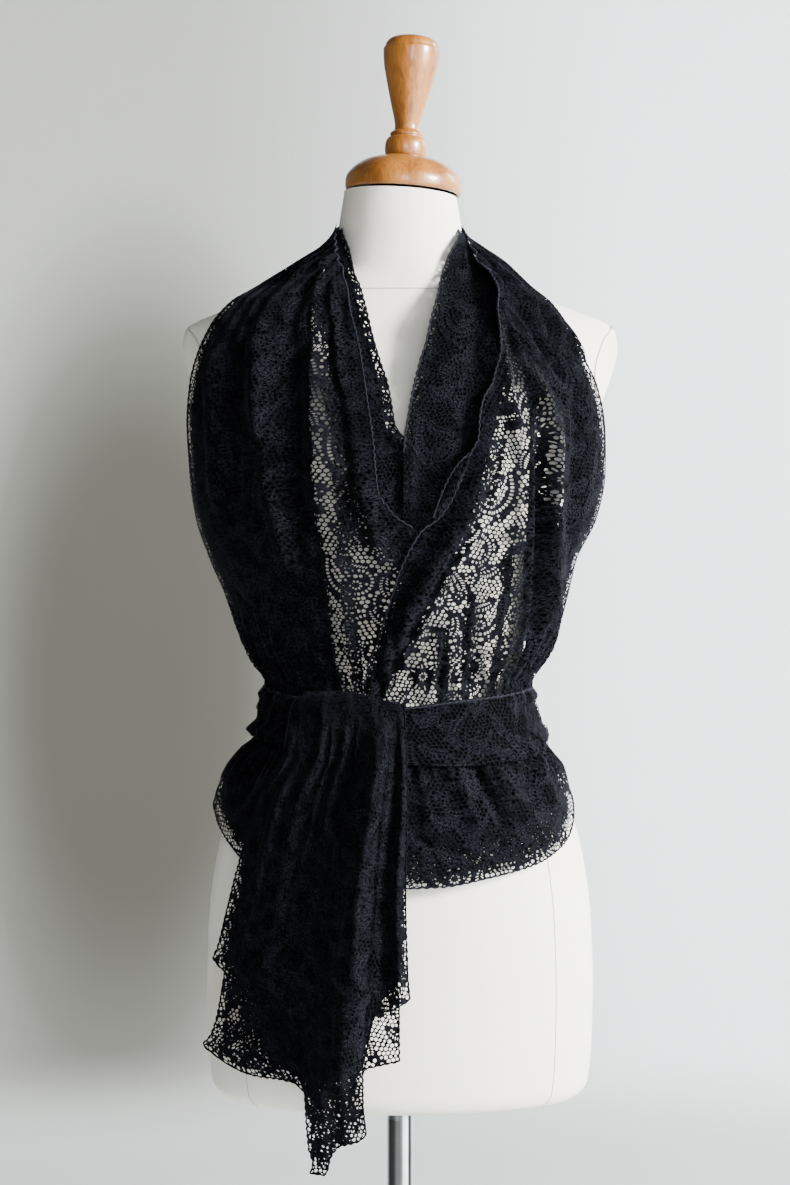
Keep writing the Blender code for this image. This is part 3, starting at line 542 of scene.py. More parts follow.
def motifs():
    return (
        # a large paisley that curls up and to the right, with its flower
        ladder(winding(8, 10, 100, 84, -60, -250, 90), 3.0, end=0.15),
        stem(winding(4, 6, 96, 60, -40, -40, 60), 0.9),
        ring_flower(27, 36, 6.6),
        leaf(winding(16, 14, 40, 26, -50, 0, 24), 4.6),
        # its partner, turned over
        ladder(winding(90, 70, 258, 78, -50, -250, 90), 3.0, end=0.15),
        ring_flower(70, 44, 6.2),
        # a large flower and its leaves
        petals(70, 86, 7.0, 13.4, 8, 2.3, 0.2),
        ring_flower(70, 86, 6.2),
        leaf(winding(52, 74, 200, 24, 60, 0, 24), 4.4),
        leaf(winding(56, 98, 150, 26, -60, 0, 24), 4.4),
        leaf(winding(84, 100, 40, 22, 50, 0, 24), 4.0),
        leaf(winding(86, 76, -10, 20, 60, 0, 24), 3.8, slots=False),
        # the lower flower
        petals(62, 14, 6.2, 11.8, 7, 2.2, 0.6),
        ring_flower(62, 14, 5.6),
        comb(40, 4, 20, 3, 13, 60),
        comb(78, 18, 60, 4, 12, -50),
        leaf(winding(50, 26, 120, 24, -70, 0, 24), 4.2),
        # the upper left spray
        ladder(winding(34, 64, 170, 46, -150, -60, 60), 2.7, 1.0, end=0.2),
        ring_flower(20, 76, 5.8),
        leaf(winding(12, 92, 60, 24, -80, 0, 24), 4.2),
        comb(30, 92, 120, 3, 14, 70),
        stem(winding(44, 48, 80, 44, 60, -50, 50), 1.0),
        ring_flower(42, 55, 4.9),
        ring_flower(92, 28, 5.2),
        ring_flower(38, 106, 5.0),
        ring_flower(3, 62, 4.8),
        comb(50, 62, 100, 2, 9, -40),
        stem(winding(80, 2, 90, 40, 40, -90, 50), 0.9),
        leaf(winding(88, 50, 110, 16, 60, 0, 20), 3.4, slots=False),
    )


def wrapped(gap, span):
    return (gap + span / 2) % span - span / 2


def flat_gaps(places, x, y):
    """The distances of places on the repeat from one place, the short way round."""
    return np.hypot(wrapped(places[:, 0] - x, LACE_WIDTH), wrapped(places[:, 1] - y, LACE_HEIGHT))


def to_run(px, py, x0, y0, x1, y1):
    """The distance from points to straight runs."""
    dx = x1 - x0
    dy = y1 - y0
    square = np.maximum(dx * dx + dy * dy, 1e-12)
    t = np.clip(((px - x0) * dx + (py - y0) * dy) / square, 0, 1)
    return np.hypot(px - x0 - t * dx, py - y0 - t * dy)


def hole_room(hole, taken):
    """The least cloth between one hole and those already taken, across the repeat's edges too."""
    if not len(taken):
        return 1e9
    cx = wrapped(taken[:, 0] - hole.x, LACE_WIDTH)
    cy = wrapped(taken[:, 1] - hole.y, LACE_HEIGHT)
    ox = taken[:, 2]
    oy = taken[:, 3]
    hx = hole.half * math.cos(hole.angle)
    hy = hole.half * math.sin(hole.angle)
    best = np.minimum(
        np.minimum(to_run(cx - ox, cy - oy, -hx, -hy, hx, hy), to_run(cx + ox, cy + oy, -hx, -hy, hx, hy)),
        np.minimum(to_run(-hx, -hy, cx - ox, cy - oy, cx + ox, cy + oy),
                   to_run(hx, hy, cx - ox, cy - oy, cx + ox, cy + oy)))
    return float(np.min(best - taken[:, 4])) - hole.radius


def lace_holes():
    """Every hole of one repeat: the motifs' own first, then the net wherever there is room."""
    patches = []
    holes = []
    taken = np.zeros((0, 5))

    def take(hole):
        nonlocal taken
        holes.append(hole)
        row = (hole.x % LACE_WIDTH, hole.y % LACE_HEIGHT, hole.half * math.cos(hole.angle),
               hole.half * math.sin(hole.angle), hole.radius)
        taken = np.vstack((taken, row))

    for own_holes, own_patches in motifs():
        for hole in own_holes:
            if hole_room(hole, taken) > MOTIF_THREAD:
                take(hole)
        patches += own_patches
    patch = np.array(patches)
    motif_count = len(holes)
    rows = 2 * round(LACE_HEIGHT / NET_ROW / 2)
    columns = round(LACE_WIDTH / NET_PITCH)
    for j in range(rows):
        for i in range(columns):
            x = (i + 0.5 * (j % 2)) * LACE_WIDTH / columns
            y = (j + 0.25) * LACE_HEIGHT / rows
            u = 2 * math.pi * x / LACE_WIDTH
            v = 2 * math.pi * y / LACE_HEIGHT
            x += NET_WARP * math.sin(2 * v + math.sin(u)) + 0.3 * math.sin(7 * v + 5 * u)
            y += NET_WARP * math.sin(2 * u + 1.3 * math.sin(v)) + 0.3 * math.sin(6 * u - 5 * v)
            hole = Hole(x, y, 0.0, 0.0, NET_HOLE * 0.9, 6)
            room = hole_room(hole, taken)
            clear = np.min(flat_gaps(patch, x, y) - patch[:, 2])
            radius = min(NET_HOLE, NET_HOLE + min(0.0, room - THREAD), clear + 0.1)
            if radius > NET_SMALLEST:
                take(Hole(x, y, 0.0, 0.0, radius, 6))
    return holes, motif_count


def hole_ring(hole, rng):
    """The corners of a hole, a little uneven."""
    ring = []
    for n in range(hole.corners):
        a = 2 * math.pi * (n + 0.5) / hole.corners
        reach = hole.radius * (1 + rng.uniform(-0.07, 0.07))
        along = math.cos(a) * reach + math.copysign(hole.half, math.cos(a))
        off = math.sin(a) * reach
        c = math.cos(hole.angle)
        s = math.sin(hole.angle)
        ring.append((hole.x + along * c - off * s, hole.y + along * s + off * c))
    return ring


# The cord value of a motif's rim, between the motif's 0 and the net's 1. The lace material paints a highlight
# there.
RIM_CORD = 0.35


class Lace:
    """One repeat of lace, triangulated so that copies of it join without a seam."""

    def __init__(self):
        rng = np.random.default_rng(7)
        holes, motif_count = lace_holes()
        points = []
        rings = []
        cord = []
        opening = 0.0
        for n, hole in enumerate(holes):
            ring = hole_ring(hole, rng)
            rings.append(list(range(len(points), len(points) + len(ring))))
            points += ring
            cord += [RIM_CORD if n < motif_count else 1.0] * len(ring)
            corners = np.array(ring)
            following = np.roll(corners, -1, axis=0)
            opening += 0.5 * abs(np.sum(corners[:, 0] * following[:, 1] - following[:, 0] * corners[:, 1]))
        self.open_share = opening / (LACE_WIDTH * LACE_HEIGHT)
        centres = np.array([(hole.x, hole.y) for hole in holes])
        spread = np.array([hole.radius + hole.half for hole in holes])
        for j in range(int(LACE_HEIGHT / SOLID_STEP)):
            for i in range(int(LACE_WIDTH / SOLID_STEP)):
                x = (i + 0.5 + rng.uniform(-0.25, 0.25)) * SOLID_STEP
                y = (j + 0.5 + rng.uniform(-0.25, 0.25)) * SOLID_STEP
                if np.min(flat_gaps(centres, x, y) - spread) > 0.8:
                    points.append((x, y))
                    cord.append(0.0)
        self.points = np.array(points)
        self.cord = np.array(cord)
        self.count = len(points)
        self.faces = self.triangles(rings)

    def triangles(self, rings):
        """Triangles round the holes of the middle one of nine repeats, as (point, column, row) corners."""
        verts = []
        source = []
        faces = []
        for di in (-1, 0, 1):
            for dj in (-1, 0, 1):
                moved = self.points + np.array((di * LACE_WIDTH, dj * LACE_HEIGHT))
                close = (
                    (moved[:, 0] > -SEAM_MARGIN) & (moved[:, 0] < LACE_WIDTH + SEAM_MARGIN)
                    & (moved[:, 1] > -SEAM_MARGIN) & (moved[:, 1] < LACE_HEIGHT + SEAM_MARGIN)
                )
                for ring in rings:
                    if close[ring].all():
                        faces.append(list(range(len(verts), len(verts) + len(ring))))
                        verts += [Vector(moved[k]) for k in ring]
                        source += [(k, di, dj) for k in ring]
                    close[ring] = False
                for k in np.nonzero(close)[0]:
                    verts.append(Vector(moved[k]))
                    source.append((int(k), di, dj))
        out_points, _, out_faces, from_points, _, from_faces = delaunay_2d_cdt(verts, [], faces, 0, 1e-7)
        kept = []
        for face, owners in zip(out_faces, from_faces):
            middle = sum((out_points[k] for k in face), Vector((0.0, 0.0))) / len(face)
            if not owners and 0 <= middle.x < LACE_WIDTH and 0 <= middle.y < LACE_HEIGHT:
                kept.append([source[from_points[k][0]] for k in face])
        return np.array(kept)

    def lay(self, low, high, shift):
        """Points, triangles and cord values of lace that covers a rectangle of flat cloth."""
        first_i = int(math.floor((low[0] - shift[0]) / LACE_WIDTH)) - 1
        last_i = int(math.floor((high[0] - shift[0]) / LACE_WIDTH)) + 1
        first_j = int(math.floor((low[1] - shift[1]) / LACE_HEIGHT)) - 1
        last_j = int(math.floor((high[1] - shift[1]) / LACE_HEIGHT)) + 1
        columns = last_i - first_i + 1
        rows = last_j - first_j + 1
        points = np.empty((rows, columns, self.count, 2))
        for j in range(rows):
            for i in range(columns):
                points[j, i] = self.points + np.array(
                    (shift[0] + (first_i + i) * LACE_WIDTH, shift[1] + (first_j + j) * LACE_HEIGHT))
        faces = []
        for j in range(1, rows - 1):
            for i in range(1, columns - 1):
                block = self.faces
                tile = (i + block[:, :, 1]) + columns * (j + block[:, :, 2])
                faces.append(block[:, :, 0] + self.count * tile)
        return points.reshape(-1, 2), np.concatenate(faces), np.tile(self.cord, rows * columns)


def inside(points, border):
    """Which points lie inside a closed border."""
    odd = np.zeros(len(points), bool)
    x = points[:, 0]
    y = points[:, 1]
    for (x0, y0), (x1, y1) in zip(border, np.roll(border, -1, axis=0)):
        if y0 == y1:
            continue
        crosses = (y0 > y) != (y1 > y)
        odd ^= crosses & (x < (x1 - x0) * (y - y0) / (y1 - y0) + x0)
    return odd


def nearest_on(points, border):
    """The nearest place on the border to each point."""
    starts = border
    runs = np.roll(border, -1, axis=0) - border
    squares = np.maximum((runs ** 2).sum(1), 1e-12)
    best = np.full(len(points), 1e18)
    found = points.copy()
    for start, run, square in zip(starts, runs, squares):
        t = np.clip(((points - start) @ run) / square, 0, 1)
        place = start + t[:, None] * run
        distance = ((points - place) ** 2).sum(1)
        closer = distance < best
        best[closer] = distance[closer]
        found[closer] = place[closer]
    return found


def make_mesh(name, points, faces, flat=None, cord=None):
    """A mesh object from arrays, in millimetres, with its flat layout as its UV map."""
    used = np.unique(faces)
    lookup = np.full(len(points), -1)
    lookup[used] = np.arange(len(used))
    faces = lookup[faces]
    points = points[used]
    corners = faces.shape[1]
    mesh = bpy.data.meshes.new(name)
    mesh.vertices.add(len(points))
    mesh.vertices.foreach_set("co", (points * MILLIMETRE).astype(np.float32).ravel())
    mesh.loops.add(faces.size)
    mesh.loops.foreach_set("vertex_index", faces.astype(np.int32).ravel())
    mesh.polygons.add(len(faces))
    mesh.polygons.foreach_set("loop_start", np.arange(0, faces.size, corners, dtype=np.int32))
    if flat is not None:
        layer = mesh.uv_layers.new(name="OFBake")
        uv = (flat[used] / UV_SPAN)[faces.ravel()]
        layer.data.foreach_set("uv", uv.astype(np.float32).ravel())
    if cord is not None:
        attribute = mesh.attributes.new("cord", "FLOAT", "POINT")
        attribute.data.foreach_set("value", cord[used].astype(np.float32))
    mesh.update(calc_edges=True)
    mesh.validate()
    mesh.shade_smooth()
    made = bpy.data.objects.new(name, mesh)
    bpy.context.scene.collection.objects.link(made)
    return made


def finish_piece(piece, material, nodes=()):
    """Gives a piece its material and body, and hides the imported parts of the nodes that it stands for."""
    piece.data.materials.clear()
    piece.data.materials.append(material)
    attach(piece, "root")
    if nodes:
        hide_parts(*nodes)
    return piece


def lace_sheet(name, lace, surface, border, shift=(0.0, 0.0)):
    """Lace laid over a flat border, trimmed to it and draped by the surface function."""
    low = border.min(0)
    high = border.max(0)
    points, faces, cord = lace.lay(low, high, shift)
    within = inside(points, border)
    part_in = within[faces].any(1)
    faces = faces[part_in]
    outside = np.unique(faces[~within[faces]])
    points[outside] = nearest_on(points[outside], border)
    corners = points[faces]
    double = (
        (corners[:, 1, 0] - corners[:, 0, 0]) * (corners[:, 2, 1] - corners[:, 0, 1])
        - (corners[:, 1, 1] - corners[:, 0, 1]) * (corners[:, 2, 0] - corners[:, 0, 0])
    )
    faces = faces[np.abs(double) > 0.02]
    placed = surface(points[:, 0], points[:, 1])
    flat = points - low + 5.0
    return make_mesh(name, placed, faces, flat, cord)


def plain_sheet(name, surface, left, right, downs, columns):
    """A sheet with no holes between two side borders, for layers that lie underneath."""
    down = np.array(downs)[:, None]
    across = np.linspace(0, 1, columns + 1)[None, :]
    s = mix(left(down), right(down), across)
    t = np.broadcast_to(down, s.shape)
    placed = surface(s.ravel(), t.ravel())
    flat = np.stack((s.ravel(), t.ravel()), axis=1)
    faces = grid_faces(len(downs), columns + 1)
    return make_mesh(name, placed, faces, flat - flat.min(0) + 5.0, np.full(len(placed), 0.5))


def grid_faces(rows, columns, closed=False):
    """The four-sided faces of a grid of points, closed round its columns if asked."""
    j, i = np.meshgrid(np.arange(rows - 1), np.arange(columns if closed else columns - 1), indexing="ij")
    i = i.ravel()
    j = j.ravel()
    k = (i + 1) % columns
    return np.stack((j * columns + i, j * columns + k, (j + 1) * columns + k, (j + 1) * columns + i), axis=1)


STRAND_SIDES = 6


def tube(path, radius, closed=False):
    """A round strand along a path of points; radius may differ from point to point."""
    path = np.asarray(path, float)
    count = len(path)
    if closed:
        tangents = np.roll(path, -1, axis=0) - np.roll(path, 1, axis=0)
    else:
        tangents = np.gradient(path, axis=0)
    tangents /= np.maximum(np.linalg.norm(tangents, axis=1, keepdims=True), 1e-9)
    radii = np.broadcast_to(np.asarray(radius, float), (count,))
    side = np.cross(tangents[0], (0.31, 0.52, 0.79))
    rings = np.empty((count, STRAND_SIDES, 3))
    for n in range(count):
        side = side - tangents[n] * np.dot(side, tangents[n])
        side = side / np.linalg.norm(side)
        up = np.cross(tangents[n], side)
        for k in range(STRAND_SIDES):
            a = 2 * math.pi * k / STRAND_SIDES
            rings[n, k] = path[n] + radii[n] * (math.cos(a) * side + math.sin(a) * up)
    points = rings.reshape(-1, 3)
    faces = grid_faces(count, STRAND_SIDES, closed=True)
    if closed:
        last = (count - 1) * STRAND_SIDES
        k = np.arange(STRAND_SIDES)
        following = (k + 1) % STRAND_SIDES
        faces = np.concatenate((faces, np.stack((last + k, last + following, following, k), axis=1)))
    return points, faces


def joined(strands):
    """The points and faces of several strands as one set."""
    points = []
    faces = []
    offset = 0
    for strand_points, strand_faces in strands:
        points.append(strand_points)
        faces.append(strand_faces + offset)
        offset += len(strand_points)
    return np.concatenate(points), np.concatenate(faces)


HEM_RADIUS = 0.8
HEM_STEP = 1.6
SCALLOP_HEIGHT = 0.4
SCALLOP_PITCH = 6.5


def hem(name, surface, runs):
    """The rolled hem of a sheet, along runs of flat points, with its small uneven waves."""
    strands = []
    for run in runs:
        run = np.asarray(run, float)
        lengths = np.concatenate(([0], np.cumsum(np.linalg.norm(np.diff(run, axis=0), axis=1))))
        count = max(3, int(lengths[-1] / HEM_STEP))
        at = np.linspace(0, lengths[-1], count)
        s = np.interp(at, lengths, run[:, 0])
        t = np.interp(at, lengths, run[:, 1])
        ahead = np.stack((np.gradient(s), np.gradient(t)), axis=1)
        ahead /= np.maximum(np.linalg.norm(ahead, axis=1, keepdims=True), 1e-6)
        scallop = SCALLOP_HEIGHT * np.sin(at / SCALLOP_PITCH * 2 * math.pi + wander(at / 19.0, 2.0))
        s = s - ahead[:, 1] * scallop
        t = t + ahead[:, 0] * scallop
        path = surface(s, t)
        keep = np.concatenate(([True], np.linalg.norm(np.diff(path, axis=0), axis=1) > 0.25))
        path = path[keep]
        waves = HEM_RADIUS * (1 + 0.26 * np.sin(at[keep] * 1.05) + 0.12 * wander(at[keep] * 0.6, 1.0))
        strands.append(tube(path, waves))
    return make_mesh(name, *joined(strands))


# Surfaces of the cloth, each from flat millimetres to the draped place
FAN_WIDTH = 262.0
LEFT_GAIN = 1.5
RIGHT_GAIN = 1.7
CROSSING_LOW = 1216.0
CROSSING_HIGH = 1250.0
CROSSING_LAP = 16.0
HEM_TOP = 1436.0


class FrontPanel:
    """One outer front. Across counts from the outer edge, and reaches FAN_WIDTH at centre front."""

    def __init__(self, side, hem_table, creases, seed):
        self.side = side
        self.hem_table = hem_table
        self.creases = creases
        self.seed = seed
        heights = np.linspace(NECK_TIP_HEIGHT, PANEL_BOTTOM - TUCK_DEPTH, 220)
        line = drape_points(heights, side * 0.45 * curve(PANEL_WRAP, "z", "degrees", heights))
        steps = np.linalg.norm(np.diff(line, axis=0), axis=1)
        self.downs = np.concatenate(([0], np.cumsum(steps)))
        self.heights = heights
        self.length = self.downs[-1]

    def height(self, t):
        return np.interp(t, self.downs, self.heights)

    def down(self, z):
        return np.interp(-np.asarray(z, float), -self.heights, self.downs)

    def hem_across(self, t):
        """Where the inner edge lies across the flat cloth."""
        z = self.height(t)
        return self.across(z, curve(self.hem_table, "z", "x", z))

    def place(self, s, t, lift=0.0):
        z = self.height(t)
        wrap = curve(PANEL_WRAP, "z", "degrees", z)
        degrees = self.side * wrap * (1 - s / FAN_WIDTH)
        base = drape_points(z, degrees)
        x = base[..., 0]
        rise = (LEFT_GAIN if self.side < 0 else RIGHT_GAIN) * crease_height(self.creases, x, z)
        rise += self.gathers(s, z)
        rise += 0.8 * wander(s / 9.0 + z / 31.0, self.seed)
        rise *= ease(NECK_TIP_HEIGHT, NECK_TIP_HEIGHT - 40, z)
        rise *= mix(0.45, 1.0, ease(0, 14, s))
        rise *= mix(0.1, 1.0, ease(PANEL_BOTTOM - 6, PANEL_BOTTOM + 26, z))
        rise += self.roll(x, z)
        if self.side < 0:
            under = ease(0.72, 0.92, s / self.hem_across(t))
            rise -= 3.0 * under * (1 - ease(COWL_CROSSING - 3, COWL_CROSSING + 14, z))
        return drape_points(z, degrees, rise + lift * ease(NECK_TIP_HEIGHT, NECK_TIP_HEIGHT - 42, z))

    def across(self, z, x):
        """Where a place on the picture plane lies across the flat cloth."""
        return FAN_WIDTH * (1 - self.side * drape_angle(z, x) / curve(PANEL_WRAP, "z", "degrees", z))

    def gathers(self, s, z):
        """Narrow pleats that the sash draws in, and those that fan out from the neck."""
        grow = 1 - ease(PANEL_BOTTOM + 14, WAIST_GATHER_TOP, z)
        phase = s / WAIST_GATHER_PITCH * 2 * math.pi + 1.4 * wander(s / 40.0, self.seed + 2)
        low = WAIST_GATHER_HEIGHT * grow * (np.sin(phase) + 0.35 * np.sin(2.3 * phase + 1.0))
        fan = ease(1270, 1400, z)
        high = 2.4 * fan * np.sin(s / 24.0 * 2 * math.pi + self.seed + 0.8 * wander(s / 30.0, 4.0))
        return low + high

    def roll(self, x, z):
        if self.side < 0:
            return 0.0
        distance = x - curve(ROLL_LINE, "z", "x", z)
        fade = 1 - ease(ROLL_LINE[2].z, ROLL_LINE[0].z, z)
        fade = fade * ease(PANEL_BOTTOM + 10, PANEL_BOTTOM + 50, z)
        main = np.exp(-((distance / ROLL_HALF_WIDTH) ** 2))
        second = 0.45 * np.exp(-(((distance - 17) / 6.0) ** 2))
        second = second - 0.30 * np.exp(-(((distance - 9.5) / 4.0) ** 2))
        return ROLL_HEIGHT * fade * (main + second)

    def border(self):
        """The closed flat border, down the inner edge and back up the outer one."""
        t = np.linspace(0, self.length, 150)
        inner = np.stack((self.hem_across(t), t), axis=1)
        outer = np.stack((np.zeros(60), np.linspace(self.length, 0, 60)), axis=1)
        return np.concatenate((inner, outer))

    def inner_run(self, top, bottom):
        t = np.linspace(self.down(top), self.down(bottom), 160)
        return np.stack((self.hem_across(t), t), axis=1)

    def outer_run(self):
        t = np.linspace(self.down(HEM_TOP), self.length, 120)
        return np.stack((np.zeros(120), t), axis=1)


class CowlLayer:
    """The inner layer of one side, from the V neckline outwards under the outer front."""

    def __init__(self, side, neckline, hem_table, seed):
        self.side = side
        self.neckline = neckline
        self.hem_table = hem_table
        self.seed = seed

    def lap(self, z):
        """How far the left layer has passed under the right one, below the foot of the V."""
        return 1 - ease(CROSSING_LOW, CROSSING_HIGH, z)

    def edge_x(self, z):
        edge = curve(self.neckline, "z", "x", z)
        return edge + (CROSSING_LAP * self.lap(z) if self.side < 0 else 0.0)

    def place(self, s, t, lift=0.0):
        """s is counted outwards from the neckline along the cloth and t down from the top."""
        z = COWL_TOP - t
        start = self.edge_x(z)
        reach = drape_reach(z, self.side * 30.0)
        degrees = drape_angle(z, start) + self.side * np.degrees(s / np.maximum(reach, 40.0))
        low = mix(-8.5, -3.0, ease(1376, 1432, z)) - (1.6 * self.lap(z) if self.side < 0 else 0.0)
        sag = 2.2 * np.sin((s + 0.55 * t) / 15.0 + self.seed) * ease(4, 16, s)
        pull = 1.2 * np.sin(s / 6.5 + z / 60.0) * ease(2, 12, s)
        return drape_points(z, degrees, low + lift * ease(1440, 1405, z) + sag + pull)

    def flat_width(self, t, overlap):
        """The width of cloth from the neckline to the outer hem, and past it by the overlap."""
        z = COWL_TOP - t
        turn = np.abs(drape_angle(z, curve(self.hem_table, "z", "x", z)) - drape_angle(z, self.edge_x(z)))
        return np.radians(turn) * np.maximum(drape_reach(z, self.side * 30.0), 40.0) + overlap


TailLayer = namedtuple("TailLayer", "width top left right hem folds seat set_back ripple ripples seed")
FRONT_TAIL = TailLayer(
    214.0, FRONT_TAIL_TOP, FRONT_TAIL_LEFT, FRONT_TAIL_RIGHT, FRONT_TAIL_HEM, FRONT_TAIL_FOLDS,
    seat=0.0, set_back=0.0, ripple=0.9, ripples=61.0, seed=2.0)
BACK_TAIL = TailLayer(
    182.0, BACK_TAIL_TOP, BACK_TAIL_LEFT, BACK_TAIL_RIGHT, BACK_TAIL_HEM, BACK_TAIL_FOLDS,
    seat=2.5, set_back=9.0, ripple=0.7, ripples=37.0, seed=3.0)
TIP = TailLayer(
    56.0, TIP_TOP, TIP_LEFT, TIP_RIGHT, TIP_HEM, TIP_FOLDS,
    seat=2.5, set_back=4.5, ripple=0.4, ripples=21.0, seed=4.0)
TAIL_SEAT_LENGTH = 26.0


def tail_place(layer, s, t, lift=0.0):
    """A place on one layer of the tail."""
    across = s / layer.width
    top = curve(layer.top, "across", "z", across)
    z = top - t
    hem_z = curve(layer.hem, "across", "z", across)
    down = t / np.maximum(top - hem_z, 1.0)
    x = mix(curve(layer.left, "z", "x", z), curve(layer.right, "z", "x", z), across)
    rise = np.zeros(np.shape(x))
    for n, fold in enumerate(layer.folds):
        centre = mix(fold.across_top, fold.across_bottom, down) + 0.006 * np.sin(z / 23.0 + 2 * n)
        rise = rise + fold.height * ease(fold.down_from, fold.down_from + 0.14, down) * np.exp(
            -(((across - centre) / fold.half_width) ** 2))
    ripples = np.sin(across * layer.ripples + 0.7 * np.sin(z / 40.0))
    rise = rise + layer.ripple * ripples * ease(0.1, 0.4, down)
    rise = rise + 0.7 * wander(z / 11.0 + 9 * across, layer.seed) * ease(0.1, 0.3, down)
    behind = mix(layer.seat, layer.set_back, ease(0, TAIL_SEAT_LENGTH, t))
    front = curve(TAIL_SECTIONS, "z", "front", z) - behind + rise + lift
    reach = curve(TAIL_SECTIONS, "z", "reach", z)
    return np.stack((x, -front * np.sqrt(np.maximum(1 - (x / reach) ** 2, 0.0)), z), axis=-1)


def tail_border(layer):
    """The closed flat border of a layer, and the run of its hem down both sides and along its foot."""
    width = layer.width
    across = np.linspace(0, 1, 120)
    length = curve(layer.top, "across", "z", across) - curve(layer.hem, "across", "z", across)
    bottom = np.stack((across * width, length), axis=1)
    right = np.stack((np.full(60, width), np.linspace(length[-1], 0, 60)), axis=1)[1:]
    top = np.stack((np.linspace(width, 0, 40), np.zeros(40)), axis=1)[1:]
    left = np.stack((np.zeros(60), np.linspace(0, length[0], 60)), axis=1)[1:-1]
    return np.concatenate((bottom, right, top, left)), np.concatenate((left, bottom, right))


PEPLUM_FLAT_PER_DEGREE = 2.55
PEPLUM_DEGREES = np.linspace(-124.9, 124.9, 240)
PEPLUM_LEFT_CORE_SHORT = 9.0
PEPLUM_RIGHT_CORE_SHORT = 34.0
PEPLUM_LEAST_LENGTH = 9.0


def peplum_place(s, t, lift=0.0):
    """The cloth below the sash: s is counted from centre front to the right, t down from its top."""
    degrees = s / PEPLUM_FLAT_PER_DEGREE
    z = PEPLUM_TOP - t
    base = drape_points(z, degrees)
    rise = crease_height(PEPLUM_CREASES, base[..., 0], z)
    gather = 2.2 * np.sin(s / 12.5 * 2 * math.pi + 1.3 * wander(s / 35.0, 5.0))
    rise += gather * (1 - ease(8, 58, t)) * ease(0, 10, t)
    rise += 1.1 * wander(s / 17.0 + t / 23.0, 6.0) * ease(5, 30, t)
    return drape_points(z, degrees, rise * ease(0, 14, t) + 0.4 + lift)


def peplum_border(short=0.0):
    """The closed flat border and its lower edge, which may end short of the hem."""
    length = PEPLUM_TOP - curve(PEPLUM_HEM, "degrees", "z", PEPLUM_DEGREES) - short
    length = np.maximum(length, PEPLUM_LEAST_LENGTH)
    s = PEPLUM_DEGREES * PEPLUM_FLAT_PER_DEGREE
    bottom = np.stack((s, length), axis=1)
    top = np.stack((np.linspace(s[-1], s[0], 120), np.zeros(120)), axis=1)
    return np.concatenate((bottom, top)), bottom


SASH_FLAT_PER_DEGREE = 2.15
SASH_FLAT_WIDTH = 62.0


def sash_place(s, t, lift=0.0):
    """The sash: s is counted from centre front to the right and t down its width."""
    degrees = s / SASH_FLAT_PER_DEGREE
    wrapped = (degrees + 180) % 360 - 180
    down = t / SASH_FLAT_WIDTH
    top = curve(SASH_EDGES, "degrees", "top", wrapped)
    bottom = curve(SASH_EDGES, "degrees", "bottom", wrapped)
    rise = np.zeros(np.shape(down))
    for n, fold in enumerate(SASH_FOLDS):
        at = fold.at + 0.05 * np.sin(np.radians(wrapped * (2 + n)) + n)
        rise = rise + fold.height * np.exp(-(((down - at) / fold.width) ** 2))
    pull = np.exp(-(((wrapped - 62) / 12.0) ** 2)) + np.exp(-(((wrapped + 70) / 18.0) ** 2))
    rise = rise + 1.8 * pull * np.sin(wrapped * 0.62 + 5 * down)
    rise = rise + 0.8 * np.sin(s / 9.0 + 2.0 * np.sin(down * 5)) * ease(0.0, 0.2, down)
    roll_in = 3.6 * (1 - ease(0.0, 0.10, down)) + 2.2 * ease(0.92, 1.0, down)
    flare = 4.5 * ease(0.62, 1.0, down)
    return drape_points(mix(top, bottom, down), wrapped, SASH_LIFT + flare + rise - roll_in + lift)


BAND_SUNK = 5.0
BAND_FLAT_LENGTH = 168.0
BAND_FLAT_WIDTH = 60.0
BAND_FIRST_DEGREES = 93.0
BAND_LAST_DEGREES = 267.0
BAND_DEPTH_AT_TIPS = 24.0
BAND_DEPTH_BEHIND = 42.0


def band_place(s, t):
    """The gathered band behind the neck: s runs round it from the left tip, t down its width."""
    share = s / BAND_FLAT_LENGTH
    degrees = mix(BAND_FIRST_DEGREES, BAND_LAST_DEGREES, share)
    down = t / BAND_FLAT_WIDTH
    depth = mix(BAND_DEPTH_AT_TIPS, BAND_DEPTH_BEHIND, np.sin(math.pi * share))
    z = NECK_TIP_HEIGHT - depth * down
    pleats = 1.3 * np.sin(down * 2 * math.pi * 3.5 + 0.6 * np.sin(share * 9))
    pleats = pleats + 0.5 * np.sin(down * 41 + share * 7)
    sunk = BAND_SUNK * (1 - ease(0.0, 0.1, share) * (1 - ease(0.9, 1.0, share)))
    return form_points(z - sunk, degrees, 0.0) + band_out(degrees) * (3.0 + pleats)[..., None]


def band_out(degrees):
    angle = np.radians(degrees)
    return np.stack((np.sin(angle), -np.cos(angle), np.zeros(np.shape(angle))), axis=-1)


# Materials
def new_material(name, rough, metallic=0.0):
    made = bpy.data.materials.new(name)
    made.use_nodes = True
    tree = made.node_tree
    shader = tree.nodes["Principled BSDF"]
    shader.inputs["Roughness"].default_value = rough
    shader.inputs["Metallic"].default_value = metallic
    return made, tree, shader


def add_node(tree, kind, **values):
    """A node with its input values set by name."""
    node = tree.nodes.new(kind)
    for key, value in values.items():
        node.inputs[key.replace("_", " ")].default_value = value
    return node


def ramp(tree, source, stops):
    node = tree.nodes.new("ShaderNodeValToRGB")
    node.color_ramp.elements[0].position = stops[0][0]
    node.color_ramp.elements[0].color = (*stops[0][1], 1.0)
    node.color_ramp.elements[1].position = stops[-1][0]
    node.color_ramp.elements[1].color = (*stops[-1][1], 1.0)
    for position, colour in stops[1:-1]:
        element = node.color_ramp.elements.new(position)
        element.color = (*colour, 1.0)
    tree.links.new(source, node.inputs["Fac"])
    return node


